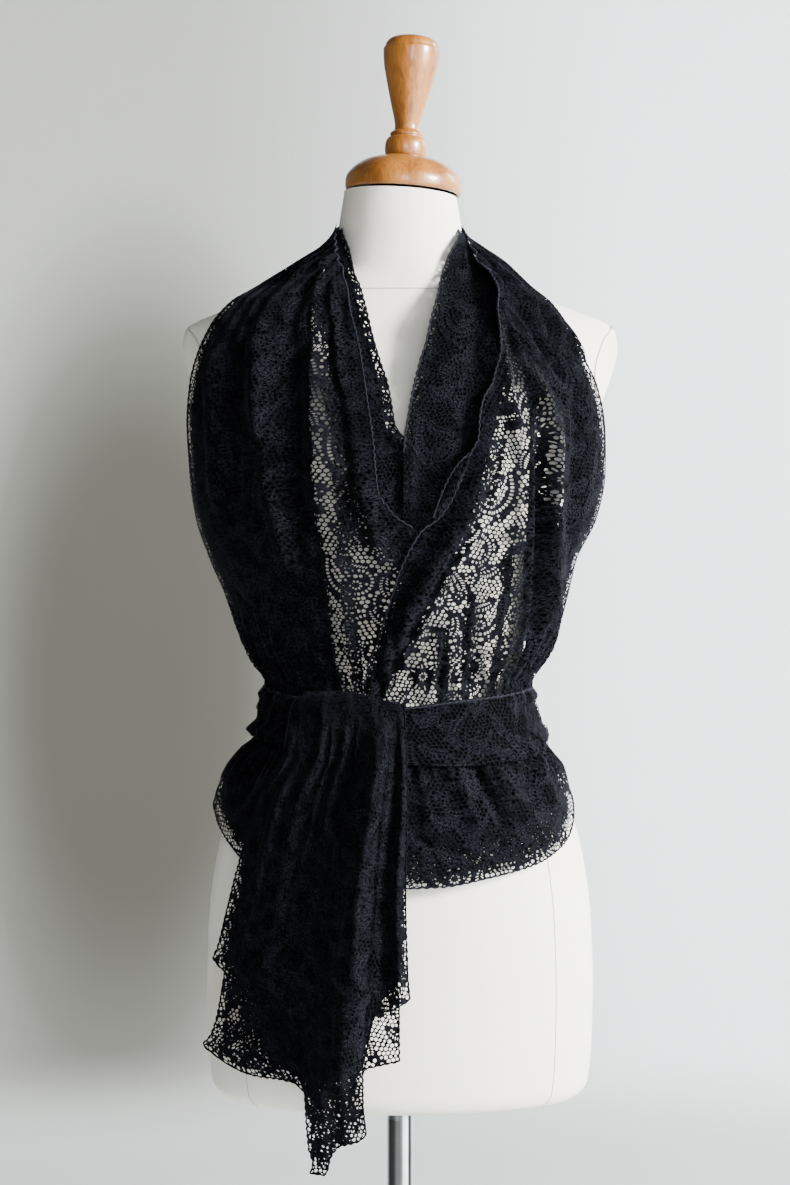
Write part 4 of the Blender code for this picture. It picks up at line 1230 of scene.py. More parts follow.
def scaled(tree, source, scale):
    node = tree.nodes.new("ShaderNodeMapping")
    node.inputs["Scale"].default_value = scale
    tree.links.new(source, node.inputs["Vector"])
    return node.outputs["Vector"]


def object_place(tree):
    return tree.nodes.new("ShaderNodeTexCoord").outputs["Object"]


def axis(tree, place, name):
    """One axis of a place."""
    parts = tree.nodes.new("ShaderNodeSeparateXYZ")
    tree.links.new(place, parts.inputs["Vector"])
    return parts.outputs[name]


def texture(tree, kind, place, **values):
    """A texture node at a place, with its input values set by name."""
    node = add_node(tree, kind, **values)
    tree.links.new(place, node.inputs["Vector"])
    return node


def worked(tree, operation, *values):
    """The result of a sum on numbers and sockets."""
    node = tree.nodes.new("ShaderNodeMath")
    node.operation = operation
    for place, value in enumerate(values):
        if isinstance(value, float):
            node.inputs[place].default_value = value
        else:
            tree.links.new(value, node.inputs[place])
    return node.outputs["Value"]


def ranged(tree, value, from_range, to_range, eased=False):
    """A value carried from one range to another, by a smooth step if asked."""
    node = tree.nodes.new("ShaderNodeMapRange")
    if eased:
        node.interpolation_type = "SMOOTHSTEP"
    node.inputs["From Min"].default_value, node.inputs["From Max"].default_value = from_range
    node.inputs["To Min"].default_value, node.inputs["To Max"].default_value = to_range
    tree.links.new(value, node.inputs["Value"])
    return node.outputs["Result"]


def multiplied(tree, first, second):
    """Two colours multiplied together."""
    node = tree.nodes.new("ShaderNodeMix")
    node.data_type = "RGBA"
    node.blend_type = "MULTIPLY"
    node.inputs["Factor"].default_value = 1.0
    tree.links.new(first.outputs["Color"], node.inputs[6])
    tree.links.new(second.outputs["Color"], node.inputs[7])
    return node.outputs[2]


def bump(tree, shader, height, strength, distance):
    node = add_node(tree, "ShaderNodeBump", Strength=strength, Distance=distance)
    tree.links.new(height, node.inputs["Height"])
    tree.links.new(node.outputs["Normal"], shader.inputs["Normal"])


KNIT_GRAIN = 1.9
RIM_HIGHLIGHT_GAIN = 2.1


def lace_material(name, thread, motif, sheen):
    """Black stretch lace: net threads and close-knit motifs, with painted highlights on the rims of the
    motifs' holes and painted glints in its knit.
    """
    made, tree, shader = new_material(name, 0.82)
    shader.inputs["Sheen Weight"].default_value = sheen
    shader.inputs["Sheen Roughness"].default_value = 0.45
    shader.inputs["Sheen Tint"].default_value = (0.62, 0.66, 0.86, 1.0)
    shader.inputs["Specular IOR Level"].default_value = 0.02
    uv = tree.nodes.new("ShaderNodeUVMap")
    uv.uv_map = "OFBake"
    cord = tree.nodes.new("ShaderNodeAttribute")
    cord.attribute_name = "cord"
    # Painted highlight: the rims of the motifs' holes are painted paler than the motifs.
    rim = tuple(RIM_HIGHLIGHT_GAIN * value for value in motif)
    colours = ramp(tree, cord.outputs["Fac"], ((0.0, motif), (RIM_CORD, rim), (0.75, thread)))
    knit = texture(tree, "ShaderNodeTexNoise", uv.outputs["UV"],
                   Scale=UV_SPAN / KNIT_GRAIN, Detail=2.5, Roughness=0.75)
    # Painted glints: a fine noise darkens and lightens the colour in flecks, for light caught by the knit's
    # threads.
    painted_glints = ramp(tree, knit.outputs["Fac"], ((0.42, (0.06, 0.06, 0.06)), (0.62, (1.25, 1.25, 1.25))))
    tree.links.new(multiplied(tree, colours, painted_glints), shader.inputs["Base Color"])
    bump(tree, shader, knit.outputs["Fac"], 0.9, 0.0009)
    return made


def linen_material():
    """Off-white linen with a fine plain weave, slubs and faint stains."""
    made, tree, shader = new_material("linen", 0.9)
    shader.inputs["Sheen Weight"].default_value = 0.15
    shader.inputs["Specular IOR Level"].default_value = 0.2
    place = object_place(tree)
    threads = []
    for direction in ("X", "Z"):
        wave = texture(tree, "ShaderNodeTexWave", place, Scale=330.0, Distortion=2.0, Detail=1.0)
        wave.bands_direction = direction
        threads.append(wave.outputs["Fac"])
    stain = texture(tree, "ShaderNodeTexNoise", place, Scale=7.0, Detail=5.0, Roughness=0.6)
    colours = ramp(tree, stain.outputs["Fac"], (
        (0.30, (0.70, 0.66, 0.58)), (0.46, (0.80, 0.77, 0.71)), (0.75, (0.84, 0.82, 0.77))))
    tree.links.new(colours.outputs["Color"], shader.inputs["Base Color"])
    bump(tree, shader, worked(tree, "MULTIPLY", *threads), 0.35, 0.0006)
    return made


def oak_material():
    """Honey-coloured varnished wood with a long grain up the turning."""
    made, tree, shader = new_material("oak", 0.34)
    shader.inputs["Coat Weight"].default_value = 0.45
    shader.inputs["Coat Roughness"].default_value = 0.06
    long_way = scaled(tree, object_place(tree), (1.0, 1.0, 0.09))
    grain = texture(tree, "ShaderNodeTexNoise", long_way, Scale=420.0, Detail=6.0, Roughness=0.68)
    figure = texture(tree, "ShaderNodeTexWave", long_way, Scale=9.0, Distortion=6.0, Detail=3.0)
    both = worked(tree, "MULTIPLY_ADD", figure.outputs["Fac"], 0.18, grain.outputs["Fac"])
    colours = ramp(tree, both, (
        (0.38, (0.13, 0.040, 0.004)), (0.60, (0.28, 0.100, 0.013)), (0.88, (0.38, 0.155, 0.027))))
    tree.links.new(colours.outputs["Color"], shader.inputs["Base Color"])
    bump(tree, shader, grain.outputs["Fac"], 0.12, 0.0004)
    return made


# Painted reflection: how bright the polished pole looks across its width, from its left edge, 0, to
# its right, 1. The dark and pale upright bands of a room in polished metal are painted into its colour.
POLE_RADIUS = 0.012
POLE_PAINTED_REFLECTIONS = (
    (0.00, 0.90), (0.06, 0.50), (0.10, 0.05), (0.26, 0.08), (0.38, 0.26), (0.48, 0.17), (0.58, 0.24),
    (0.64, 1.00), (0.79, 1.00), (0.83, 0.04), (0.91, 0.05), (0.95, 0.70), (1.00, 0.95),
)


def chrome_material():
    """Polished chrome with upright reflections painted into its colour, and the faint marks of handling."""
    made, tree, shader = new_material("chrome", 0.12, 1.0)
    place = object_place(tree)
    smear = texture(tree, "ShaderNodeTexNoise", place, Scale=60.0, Detail=4.0)
    colours = ramp(tree, smear.outputs["Fac"], ((0.3, (0.72, 0.73, 0.76)), (0.7, (0.88, 0.89, 0.92))))
    # Painted reflection: upright bands painted into the base colour by the place across the pole.
    across = ranged(tree, axis(tree, place, "X"), (-POLE_RADIUS, POLE_RADIUS), (0.0, 1.0))
    painted_reflections = ramp(tree, across, [(at, (value, value, value)) for at, value in POLE_PAINTED_REFLECTIONS])
    tree.links.new(multiplied(tree, colours, painted_reflections), shader.inputs["Base Color"])
    rough = ranged(tree, smear.outputs["Fac"], (0.0, 1.0), (0.06, 0.16))
    tree.links.new(rough, shader.inputs["Roughness"])
    return made


def painted_material():
    """Satin off-white paint with a slight orange peel."""
    made, tree, shader = new_material("base_paint", 0.42)
    place = object_place(tree)
    peel = texture(tree, "ShaderNodeTexNoise", place, Scale=420.0, Detail=2.0)
    wear = texture(tree, "ShaderNodeTexNoise", place, Scale=14.0, Detail=5.0)
    colours = ramp(tree, wear.outputs["Fac"], ((0.3, (0.74, 0.73, 0.70)), (0.7, (0.82, 0.82, 0.80))))
    tree.links.new(colours.outputs["Color"], shader.inputs["Base Color"])
    bump(tree, shader, peel.outputs["Fac"], 0.08, 0.0003)
    return made


# Form, cap and stand
FORM_COLUMNS = 160
FORM_AROUND = np.linspace(0, 360, FORM_COLUMNS, endpoint=False)
FORM_FOOT_HEIGHTS = (636, 636.7, 638.2, 640)
FORM_FIRST_RING = 643
FORM_RING_STEP = 5.0
FORM_SEAM_DEGREES = (50, -50, 137, -137, 180)
SEAM_RADIUS = 0.55
# Painted shade: the seams' linen is painted darker by this share, for the shade in their grooves.
SEAM_SHADE = 0.62
NECK_LOW = 1366
NECK_CLOTH = 0.7
NECK_SEAM_RADIUS = 0.7
NECK_SEAM_FRONT = 1376.0
NECK_SEAM_BACK = 1408.0


def form_grid(low, high, step, outward):
    """Rings of points up the form, with the neck cut square to the tilted cap."""
    heights = np.arange(low, high + 0.01, step)
    z, around = np.meshgrid(heights, FORM_AROUND, indexing="ij")
    points = form_points(z, around, outward)
    tilt = math.tan(math.radians(CAP_TILT_DEGREES)) * ease(1445, FORM_TOP, z)
    points[..., 2] -= (points[..., 0] - CAP_CENTRE_X) * tilt
    return points


def build_torso(linen):
    """The linen torso, with its lower edge turned in."""
    foot = form_points(np.array(FORM_FOOT_HEIGHTS)[:, None], FORM_AROUND[None, :])
    body = np.concatenate((foot, form_grid(FORM_FIRST_RING, FORM_TOP, FORM_RING_STEP, 0.0)))
    faces = grid_faces(len(body), FORM_COLUMNS, closed=True)
    bottom = np.arange(FORM_COLUMNS)
    turned_in = body[0] * np.array((0.3, 0.3, 1.0))
    points = np.concatenate((body.reshape(-1, 3), turned_in))
    first = len(body) * FORM_COLUMNS
    following = (bottom + 1) % FORM_COLUMNS
    faces = np.concatenate((faces, np.stack((first + bottom, first + following, following, bottom), axis=1)))
    finish_piece(make_mesh("form_body_linen", points, faces), linen, ["form_body"])


def build_neck(linen):
    """The neck's own piece of linen, which starts at the neck seam."""
    neck = form_grid(NECK_LOW, FORM_TOP - 0.5, 2.5, NECK_CLOTH)
    neck[..., 2] = np.maximum(neck[..., 2], neck_seam_height(neck[..., 1]))
    for row in range(len(neck)):
        ring = form_points(neck[row, :, 2], FORM_AROUND, NECK_CLOTH)
        neck[row, :, :2] = ring[:, :2]
    faces = grid_faces(len(neck), FORM_COLUMNS, closed=True)
    finish_piece(make_mesh("form_neck_linen", neck.reshape(-1, 3), faces), linen)


def build_seams(shaded_seam_linen):
    """The seams down the form, round the neck and round the shoulder plates."""
    strands = []
    for degrees in FORM_SEAM_DEGREES:
        heights = np.linspace(640, 1352 if abs(degrees) < 180 else 1400, 150)
        strands.append(tube(form_points(heights, float(degrees), 0.1), SEAM_RADIUS))
    ring = form_points(np.full(FORM_COLUMNS, 1390.0), FORM_AROUND, 0.5)
    for _ in range(12):
        ring = form_points(neck_seam_height(ring[:, 1]), FORM_AROUND, 0.5)
    strands.append(tube(ring, NECK_SEAM_RADIUS, closed=True))
    for side in (-1, 1):
        strands.append(tube(shoulder_plate_edge(side), PLATE_EDGE_RADIUS, closed=True))
    finish_piece(make_mesh("form_seams", *joined(strands)), shaded_seam_linen)


def neck_seam_height(y):
    """The seam at the foot of the neck rises from the front to the back."""
    return mix(NECK_SEAM_FRONT, NECK_SEAM_BACK, ease(-56, 50, y))


PLATE_HEIGHT = 1300.0
PLATE_HALF_HEIGHT = 47.0
PLATE_HALF_DEPTH = 38.0
PLATE_EDGE_RADIUS = 0.75


def shoulder_plate_edge(side):
    """The rim of the linen plate that closes each shoulder."""
    path = []
    for n in range(72):
        a = 2 * math.pi * n / 72
        z = PLATE_HEIGHT + PLATE_HALF_HEIGHT * math.sin(a)
        depth = PLATE_HALF_DEPTH * math.cos(a)
        low = 30.0
        high = 150.0
        for _ in range(28):
            middle = 0.5 * (low + high)
            if form_points(z, middle)[1] < depth:
                low = middle
            else:
                high = middle
        path.append(form_points(z, side * 0.5 * (low + high), 0.4))
    return np.array(path)


def turned(name, profile, sides, matrix=Matrix.Identity(4), samples=4):
    """A smooth turned piece through (radius, height) points, with flat ends."""
    outline = smooth_profile(profile, samples)
    angles = np.linspace(0, 2 * math.pi, sides, endpoint=False)
    radius = outline[:, 0][:, None]
    height = np.broadcast_to(outline[:, 1][:, None], (len(outline), sides))
    points = np.stack((radius * np.cos(angles), radius * np.sin(angles), height), axis=-1).reshape(-1, 3)
    faces = grid_faces(len(outline), sides, closed=True)
    for row in (0, len(outline) - 1):
        ring = row * sides + np.arange(sides)
        following = np.roll(ring, -1)
        hub = np.full(sides, len(points))
        points = np.concatenate((points, [[0, 0, outline[row][1]]]))
        first, last = (ring, following) if row else (following, ring)
        faces = np.concatenate((faces, np.stack((first, hub, hub, last), axis=1)))
    points = points @ np.array(matrix.to_3x3()).T + np.array(matrix.translation)
    mesh = bpy.data.meshes.new(name)
    corners = [tuple(dict.fromkeys(int(k) for k in face)) for face in faces]
    mesh.from_pydata([Vector(point) * MILLIMETRE for point in points], [], corners)
    mesh.validate()
    mesh.shade_smooth()
    made = bpy.data.objects.new(name, mesh)
    bpy.context.scene.collection.objects.link(made)
    return made


def smooth_profile(profile, samples):
    """A rounded line through the points of a turned outline; a doubled point keeps its corner."""
    points = [np.array(p, float) for p in profile]
    line = [points[0]]
    for n in range(len(points) - 1):
        before = points[max(n - 1, 0)]
        start = points[n]
        end = points[n + 1]
        after = points[min(n + 2, len(points) - 1)]
        if np.allclose(start, end):
            continue
        for k in range(1, samples + 1):
            t = k / samples
            m0 = (end - before) * 0.5
            m1 = (after - start) * 0.5
            line.append(
                (2 * t ** 3 - 3 * t ** 2 + 1) * start + (t ** 3 - 2 * t ** 2 + t) * m0
                + (3 * t ** 2 - 2 * t ** 3) * end + (t ** 3 - t ** 2) * m1)
    return np.array(line)


# Turned outlines, as (radius, height). A doubled point keeps its corner.
CAP_PROFILE = (
    (50.6, 0), (50.6, 0), (52.6, 0.3), (53.9, 2), (54.3, 5.5), (54.2, 9.5), (52.9, 14), (48.9, 19.5),
    (43.8, 24), (38.8, 27.2), (33, 29.7), (28.6, 31.2), (26.8, 31), (24.8, 31.2), (23.4, 32.5),
    (20.5, 33.2), (20.5, 33.2),
)
FINIAL_PROFILE = (
    (17.6, 33.4), (17.6, 33.4), (18.6, 34.2), (19.4, 38), (19.6, 43), (19, 47), (17.2, 50.2),
    (15.3, 51.4), (14.9, 52.2), (15.5, 53.2), (15.5, 54.6), (14.4, 56), (12.4, 57.2), (11.7, 59),
    (11.7, 63), (13.2, 70), (15.7, 78.8), (18.2, 88.5), (20.8, 99), (23.2, 109), (25, 117), (26.1, 126),
    (26.4, 130.5), (26.3, 133), (25.3, 134.2), (24.9, 135.4), (24.1, 138), (21, 141.6), (14, 144.4),
    (5, 145.5), (0.4, 145.6),
)
BASE_PROFILE = (
    (189, 0), (189, 0), (190, 1.0), (190, 7.0), (189.4, 8.4), (188, 9), (188, 9), (100, 9.0), (41, 9.0),
    (41, 9.0),
)
# The socket's heights are above its own foot.
SOCKET_FOOT = 9.3
SOCKET_PROFILE = (
    (35, 0), (35, 0), (36, 1), (35.6, 3), (30, 5.5), (25, 9), (24, 13), (24, 38), (24, 43), (22.6, 45.6),
    (21, 46), (21, 46),
)


def build_wood(oak):
    tilt = Matrix.Rotation(math.radians(CAP_TILT_DEGREES), 4, "Y")
    place = Matrix.Translation((CAP_CENTRE_X, 0, FORM_TOP + CAP_SEAT_GAP)) @ tilt
    finish_piece(turned("neck_cap_oak", CAP_PROFILE, 96, place, samples=6), oak, ["neck_cap"])
    finish_piece(turned("finial_oak", FINIAL_PROFILE, 80, place, samples=6), oak, ["finial"])


def box_heights(node):
    """The lowest and highest place of a solid."""
    low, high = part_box(node)
    return low.z / MILLIMETRE, high.z / MILLIMETRE


def build_stand(chrome, paint):
    base = turned("stand_base_plate", BASE_PROFILE, 160)
    finish_piece(base, paint, ["stand_base"])
    socket_profile = [(radius, SOCKET_FOOT + height) for radius, height in SOCKET_PROFILE]
    finish_piece(turned("stand_socket_chrome", socket_profile, 80), chrome, ["stand_socket"])
    bottom, top = box_heights("stand_pole")
    pole = turned("stand_pole_chrome", (
        (11.7, bottom), (11.7, bottom), (12, bottom + 1), (12, bottom + 60), (12, top - 60), (12, top - 1),
        (11.7, top), (11.7, top),
    ), 64)
    finish_piece(pole, chrome, ["stand_pole"])
    bottom, top = box_heights("stand_flange")
    flange = turned("stand_flange_chrome", (
        (43, bottom), (43, bottom), (45, bottom + 0.6), (46, bottom + 2), (46, top - 0.6), (45.6, top),
        (45.6, top),
    ), 80)
    finish_piece(flange, chrome, ["stand_flange"])


# Cloth pieces
Cloth = namedtuple("Cloth", "lace black backing edge")


def flat_area(border, share):
    """The area in square metres of a share of the cloth inside a flat border."""
    x = border[:, 0]
    y = border[:, 1]
    return 0.5 * abs(np.dot(x, np.roll(y, -1)) - np.dot(y, np.roll(x, -1))) * share * 1e-6


# A strip that runs on the slant fills less of its box than this, and is measured across itself.
SLANT_SHARE = 0.36


def declare(border, open_share):
    """Works out a sheet's flat width and length, and the cloth left between its holes, but keeps none of
    them.
    """
    width, length = (border.max(0) - border.min(0)) * MILLIMETRE
    area = flat_area(border, 1 - open_share)
    if area < SLANT_SHARE * width * length:
        width = area / (2 * SLANT_SHARE * length)


def lay_lace(cloth, name, place, border, shift, nodes=(), rolled=None):
    """A sheet of lace with its cut, and its hem where rolled gives the name, runs and material of one."""
    piece = finish_piece(lace_sheet(name, cloth.lace, place, border, shift), cloth.black, nodes)
    if rolled is not None:
        hem_name, runs, material = rolled
        finish_piece(hem(hem_name, place, runs), material)
    declare(border, cloth.lace.open_share)


def lay_core(cloth, name, place, downs, left, right, rows, columns):
    """A plain sheet between two sides, for the layers that can't be seen through, painted near-black for the
    shade between them.
    """
    core = plain_sheet(
        name, place, lambda t: np.interp(t, downs, left), lambda t: np.interp(t, downs, right), rows, columns)
    finish_piece(core, cloth.backing)
    declare(strip_border(right, left, downs), 0.0)


def strip_border(left, right, downs):
    """The closed border of a strip, down one side and back up the other."""
    return np.concatenate((np.stack((left, downs), axis=1), np.stack((right, downs), axis=1)[::-1]))


BOX_STEP = 4.0


def refined_box(left, right, length):
    """The border of an upright rectangle, with points no further apart than BOX_STEP."""
    border = np.array(((left, 0), (right, 0), (right, length), (left, length)), float)
    out = []
    for start, end in zip(border, np.roll(border, -1, axis=0)):
        count = max(1, int(np.linalg.norm(end - start) / BOX_STEP))
        for k in range(count):
            out.append(mix(start, end, k / count))
    return np.array(out)


def build_fronts(cloth):
    for side, hem_table, creases, word, seed, shift in (
        (-1, LEFT_HEM, LEFT_CREASES, "left", 1.0, (11.0, 7.0)),
        (1, RIGHT_HEM, RIGHT_CREASES, "right", 2.0, (-20.0, 40.0)),
    ):
        panel = FrontPanel(side, hem_table, creases, seed)
        low = COWL_CROSSING if side < 0 else PANEL_BOTTOM + 12
        runs = [panel.outer_run(), panel.inner_run(HEM_TOP, low)]
        lay_lace(cloth, f"front_{word}_lace", panel.place, panel.border(), shift,
                 nodes=[f"front_{word}"], rolled=(f"front_{word}_hem", runs, cloth.edge))
        build_shades(cloth, panel, word)


# Where the wrapped shawl lies double, between two lines on the picture plane. The lace stays
# see-through between these shades. An outer shade starts a little way in from the panel's side.
ShadeEdge = namedtuple("ShadeEdge", "z outer inner")
Shade = namedtuple("Shade", "edges side_strip core_strip")
LEFT_SHADES = (
    Shade(table(ShadeEdge, (
        (1438, -80, -61), (1400, -95, -66), (1380, -110, -72), (1350, -140, -79), (1320, -170, -76),
        (1267, -180, -77), (1220, -180, -75), (1175, -170, -73), (1113, -150, -66), (1066, -140, -61),
        (1020, -124, -52), (992, -118, -46),
    )), 0.8, 24.0),
    Shade(table(ShadeEdge, (
        (1438, -62, -59), (1400, -70, -55), (1352, -78, -46), (1320, -69, -38), (1267, -67, -30),
        (1240, -62, -27), (1220, -54, -24), (1185, -40, -19), (1165, -28, 0), (1150, -18, 18),
        (1113, -5, 15), (1066, -15, 1), (1020, -28, -14), (992, -30, -20),
    )), None, 5.0),
    Shade(table(ShadeEdge, (
        (1168, -58, -50), (1120, -53, -43), (1060, -48, -38), (1010, -42, -34),
    )), None, None),
    Shade(table(ShadeEdge, (
        (1320, -64, -42), (1267, -62, -34), (1220, -60, -28), (1180, -58, -22), (1140, -44, -16),
    )), None, None),
)
RIGHT_SHADES = (
    Shade(table(ShadeEdge, (
        (1438, 62, 59), (1400, 76, 69), (1354, 86, 80), (1320, 88, 83), (1300, 90, 83), (1267, 86, 73),
        (1228, 78, 64), (1190, 70, 49), (1165, 62, 34), (1130, 52, 7), (1098, 36, -6), (1066, 18, -16),
        (1024, -4, -29), (992, -16, -33),
    )), None, 5.0),
    Shade(table(ShadeEdge, (
        (1438, 66, 58), (1400, 88, 71), (1354, 112, 84), (1320, 120, 97), (1300, 121, 105),
        (1279, 122, 112), (1237, 128, 117), (1187, 131, 118), (1165, 136, 118), (1128, 142, 119),
        (1098, 142, 121), (1052, 132, 115), (1012, 114, 92), (992, 110, 86),
    )), None, 3.0),
    Shade(table(ShadeEdge, (
        (1438, 80, 62), (1400, 92, 80), (1340, 130, 112), (1300, 160, 124), (1279, 165, 137),
        (1237, 170, 153), (1187, 170, 153), (1165, 165, 143), (1128, 160, 141), (1098, 150, 137),
        (1052, 140, 128), (1012, 120, 110), (992, 116, 106),
    )), 0.8, 16.0),
    Shade(table(ShadeEdge, (
        (1304, 100, 86), (1270, 100, 82), (1230, 92, 70), (1190, 80, 56), (1160, 60, 44),
    )), None, None),
    Shade(table(ShadeEdge, (
        (1070, 43, 32), (1040, 44, 32), (1000, 42, 32),
    )), None, 2.0),
    Shade(table(ShadeEdge, (
        (1100, 68, 58), (1060, 68, 56), (1000, 62, 54),
    )), None, 2.0),
    Shade(table(ShadeEdge, (
        (1134, 100, 91), (1080, 98, 87), (1000, 88, 79),
    )), None, 2.0),
)
SIDE_CLOSED = 0.3
UNDER_LACE_LIFT = -3.2
UNDER_CORE_LIFT = -4.8


def build_shades(cloth, panel, word):
    """The under layers of the wrapped shawl: lace over a plain core painted near-black as shade, which darken
    all but the windows.
    """
    for n, shade in enumerate(LEFT_SHADES if panel.side < 0 else RIGHT_SHADES):
        downs = np.linspace(panel.down(shade.edges[0].z), panel.down(shade.edges[-1].z), 120)
        z = panel.height(downs)
        inner = panel.across(z, curve(shade.edges, "z", "inner", z)) + 1.5 * wander(downs / 7.0, 2.0 + n)
        outer = panel.across(z, curve(shade.edges, "z", "outer", z)) + 1.5 * wander(downs / 8.0, 5.0 + n)
        if shade.side_strip is not None:
            outer = shade.side_strip + 2.5 * wander(downs / 13.0, 5.0 + n)
        inner = np.minimum(inner, panel.hem_across(downs) - 1.0)
        inner = np.maximum(inner, outer + 1.0)
        lay_lace(cloth, f"front_{word}_under_{n + 1}", lambda s, t: panel.place(s, t, UNDER_LACE_LIFT),
                 strip_border(inner, outer, downs), (31.0 + 17 * n, 52.0 + 29 * n))
        if shade.core_strip is None:
            continue
        half = 0.5 * (inner - outer)
        strip = shade.core_strip
        if shade.side_strip is not None:
            strip = strip * mix(SIDE_CLOSED, 1.0, (1 - ease(1240, 1300, z)) * ease(1080, 1130, z))
        inner_core = inner - np.minimum(3.0, 0.7 * half)
        outer_core = outer + np.minimum(strip, 0.7 * half)
        lay_core(cloth, f"front_{word}_core_{n + 1}", lambda s, t: panel.place(s, t, UNDER_CORE_LIFT),
                 downs, outer_core, inner_core, downs, 24)


COWL_FLAT_DEPTH = COWL_TOP - COWL_LOW
COWL_ROWS = 110
COWL_LEFT_HEM_ROWS = 80
COWL_RIGHT_HEM_ROWS = 79
COWL_LAP_AT_FOOT = 20.0
COWL_LAP_AT_TOP = 11.0
COWL_LEAST_WIDTH = 46.0
COWL_LEAST_WIDTH_BELOW = 1190
COWL_SMOOTHING = 13
COWL_SECOND_INSET = 0.4
COWL_SECOND_LIFT = -1.1
COWL_CORE_INSET = 7.5
COWL_CORE_LIFT = -2.4


def build_cowl(cloth):
    """The inner layer in the neckline, with a plain under layer a little way in from the V, painted
    near-black as shade.
    """
    for side, neckline, hem_table, word, seed, shift, hem_rows in (
        (-1, LEFT_NECKLINE, LEFT_HEM, "left", 1.0, (30.0, 20.0), COWL_LEFT_HEM_ROWS),
        (1, RIGHT_NECKLINE, RIGHT_HEM, "right", 2.0, (5.0, 60.0), COWL_RIGHT_HEM_ROWS),
    ):
        layer = CowlLayer(side, neckline, hem_table, seed)
        t = np.linspace(0, COWL_FLAT_DEPTH, COWL_ROWS)
        z = COWL_TOP - t
        lap = mix(COWL_LAP_AT_FOOT, COWL_LAP_AT_TOP, ease(1376, 1430, z))
        width = np.maximum(layer.flat_width(t, lap), COWL_LEAST_WIDTH * (z < COWL_LEAST_WIDTH_BELOW))
        padded = np.pad(width, COWL_SMOOTHING // 2, mode="edge")
        width = np.convolve(padded, np.ones(COWL_SMOOTHING) / COWL_SMOOTHING, mode="valid")
        v_edge = np.stack((np.zeros(COWL_ROWS), t), axis=1)
        lay_lace(cloth, f"cowl_{word}_lace", layer.place, strip_border(np.zeros(COWL_ROWS), width, t), shift,
                 nodes=[f"cowl_{word}"], rolled=(f"cowl_{word}_hem", [v_edge[:hem_rows]], cloth.edge))

        near = np.minimum(COWL_SECOND_INSET + 1.2 * wander(t / 9.0, seed), 0.4 * width)
        lay_lace(cloth, f"cowl_{word}_second", lambda s, at: layer.place(s, at, COWL_SECOND_LIFT),
                 strip_border(near, width, t), shift[::-1])
        far = np.minimum(COWL_CORE_INSET + 2.0 * wander(t / 14.0, seed), 0.5 * width)
        lay_core(cloth, f"cowl_{word}_under", lambda s, at: layer.place(s, at, COWL_CORE_LIFT),
                 t, far, width, np.linspace(6, COWL_FLAT_DEPTH, 60), 10)


FlapPoint = namedtuple("FlapPoint", "along x_upper z_upper x_lower z_lower")
FLAP = table(FlapPoint, (
    (0.0, 66, 1226, 62, 1221), (0.2, 58, 1221, 57, 1207), (0.4, 49, 1212, 51, 1197),
    (0.6, 42, 1201, 47, 1188), (0.8, 36, 1188, 40, 1176), (1.0, 28, 1166, 31, 1163),
))
FLAP_LENGTH = 76.0
FLAP_WIDTH = 12.0


def build_flap(cloth):
    """The corner of the cowl's edge that is turned over on the right."""
    def place(s, t):
        share = t / FLAP_LENGTH
        over = s / FLAP_WIDTH
        x = mix(curve(FLAP, "along", "x_upper", share), curve(FLAP, "along", "x_lower", share), over)
        z = mix(curve(FLAP, "along", "z_upper", share), curve(FLAP, "along", "z_lower", share), over)
        lift = 3.0 + 5.0 * np.sin(math.pi * np.clip(over, 0, 1)) * np.sin(math.pi * np.clip(share, 0.05, 1))
        return drape_points(z, drape_angle(z, x), lift)

    run = np.stack((np.zeros(40), np.linspace(0, FLAP_LENGTH, 40)), axis=1)
    lay_lace(cloth, "cowl_flap", place, refined_box(0, FLAP_WIDTH, FLAP_LENGTH), (5.0, 3.0),
             rolled=("cowl_flap_hem", [run], cloth.edge))


BAND_OPEN_SHARE = 0.3


def build_band(cloth):
    """The gathered band behind the neck, closed by its gathers, with a hem along both edges."""
    piece = plain_sheet("neck_band_cloth", lambda s, t: band_place(t, s), lambda t: 0 * t,
                        lambda t: 0 * t + BAND_FLAT_WIDTH, np.linspace(0, BAND_FLAT_LENGTH, 90), 48)
    finish_piece(piece, cloth.black, ["neck_band"])
    along = np.linspace(0, BAND_FLAT_LENGTH, 60)
    runs = [np.stack((along, np.full(60, down)), axis=1) for down in (0.0, BAND_FLAT_WIDTH)]
    rolled = finish_piece(hem("neck_band_hem", band_place, runs), cloth.edge)
    declare(refined_box(0, BAND_FLAT_LENGTH, BAND_FLAT_WIDTH), BAND_OPEN_SHARE)


SASH_HEM_INSET = 2.0
SASH_UNDER_LIFT = -1.3


def build_sash(cloth):
    half = 180 * SASH_FLAT_PER_DEGREE
    border = refined_box(-half, half, SASH_FLAT_WIDTH)
    run = np.stack((np.linspace(-half, half, 400), np.full(400, SASH_HEM_INSET)), axis=1)
    lay_lace(cloth, "sash_lace", sash_place, border, (0.0, 30.0),
             nodes=["sash_front", "sash_back"], rolled=("sash_top_hem", [run], cloth.edge))
    # A plain under layer, painted near-black as the shade under the sash's lace.
    under = plain_sheet("sash_under", lambda s, t: sash_place(t, s, SASH_UNDER_LIFT), lambda t: 0 * t,
                        lambda t: 0 * t + SASH_FLAT_WIDTH, np.linspace(-half, half, 300), 16)
    finish_piece(under, cloth.backing)
    declare(border, 0.0)


# The layers under the peplum: how far each ends short of the hem, how far in it lies, and the
# place of the lace's repeat on it.
PeplumLayer = namedtuple("PeplumLayer", "word short lift shift")
PEPLUM_LAYERS = table(PeplumLayer, (
    ("inner", 3.5, -4.0, (51.0, 37.0)),
    ("third", 9.0, -4.8, (8.0, 71.0)),
))
PEPLUM_CORE_LIFT = -5.8


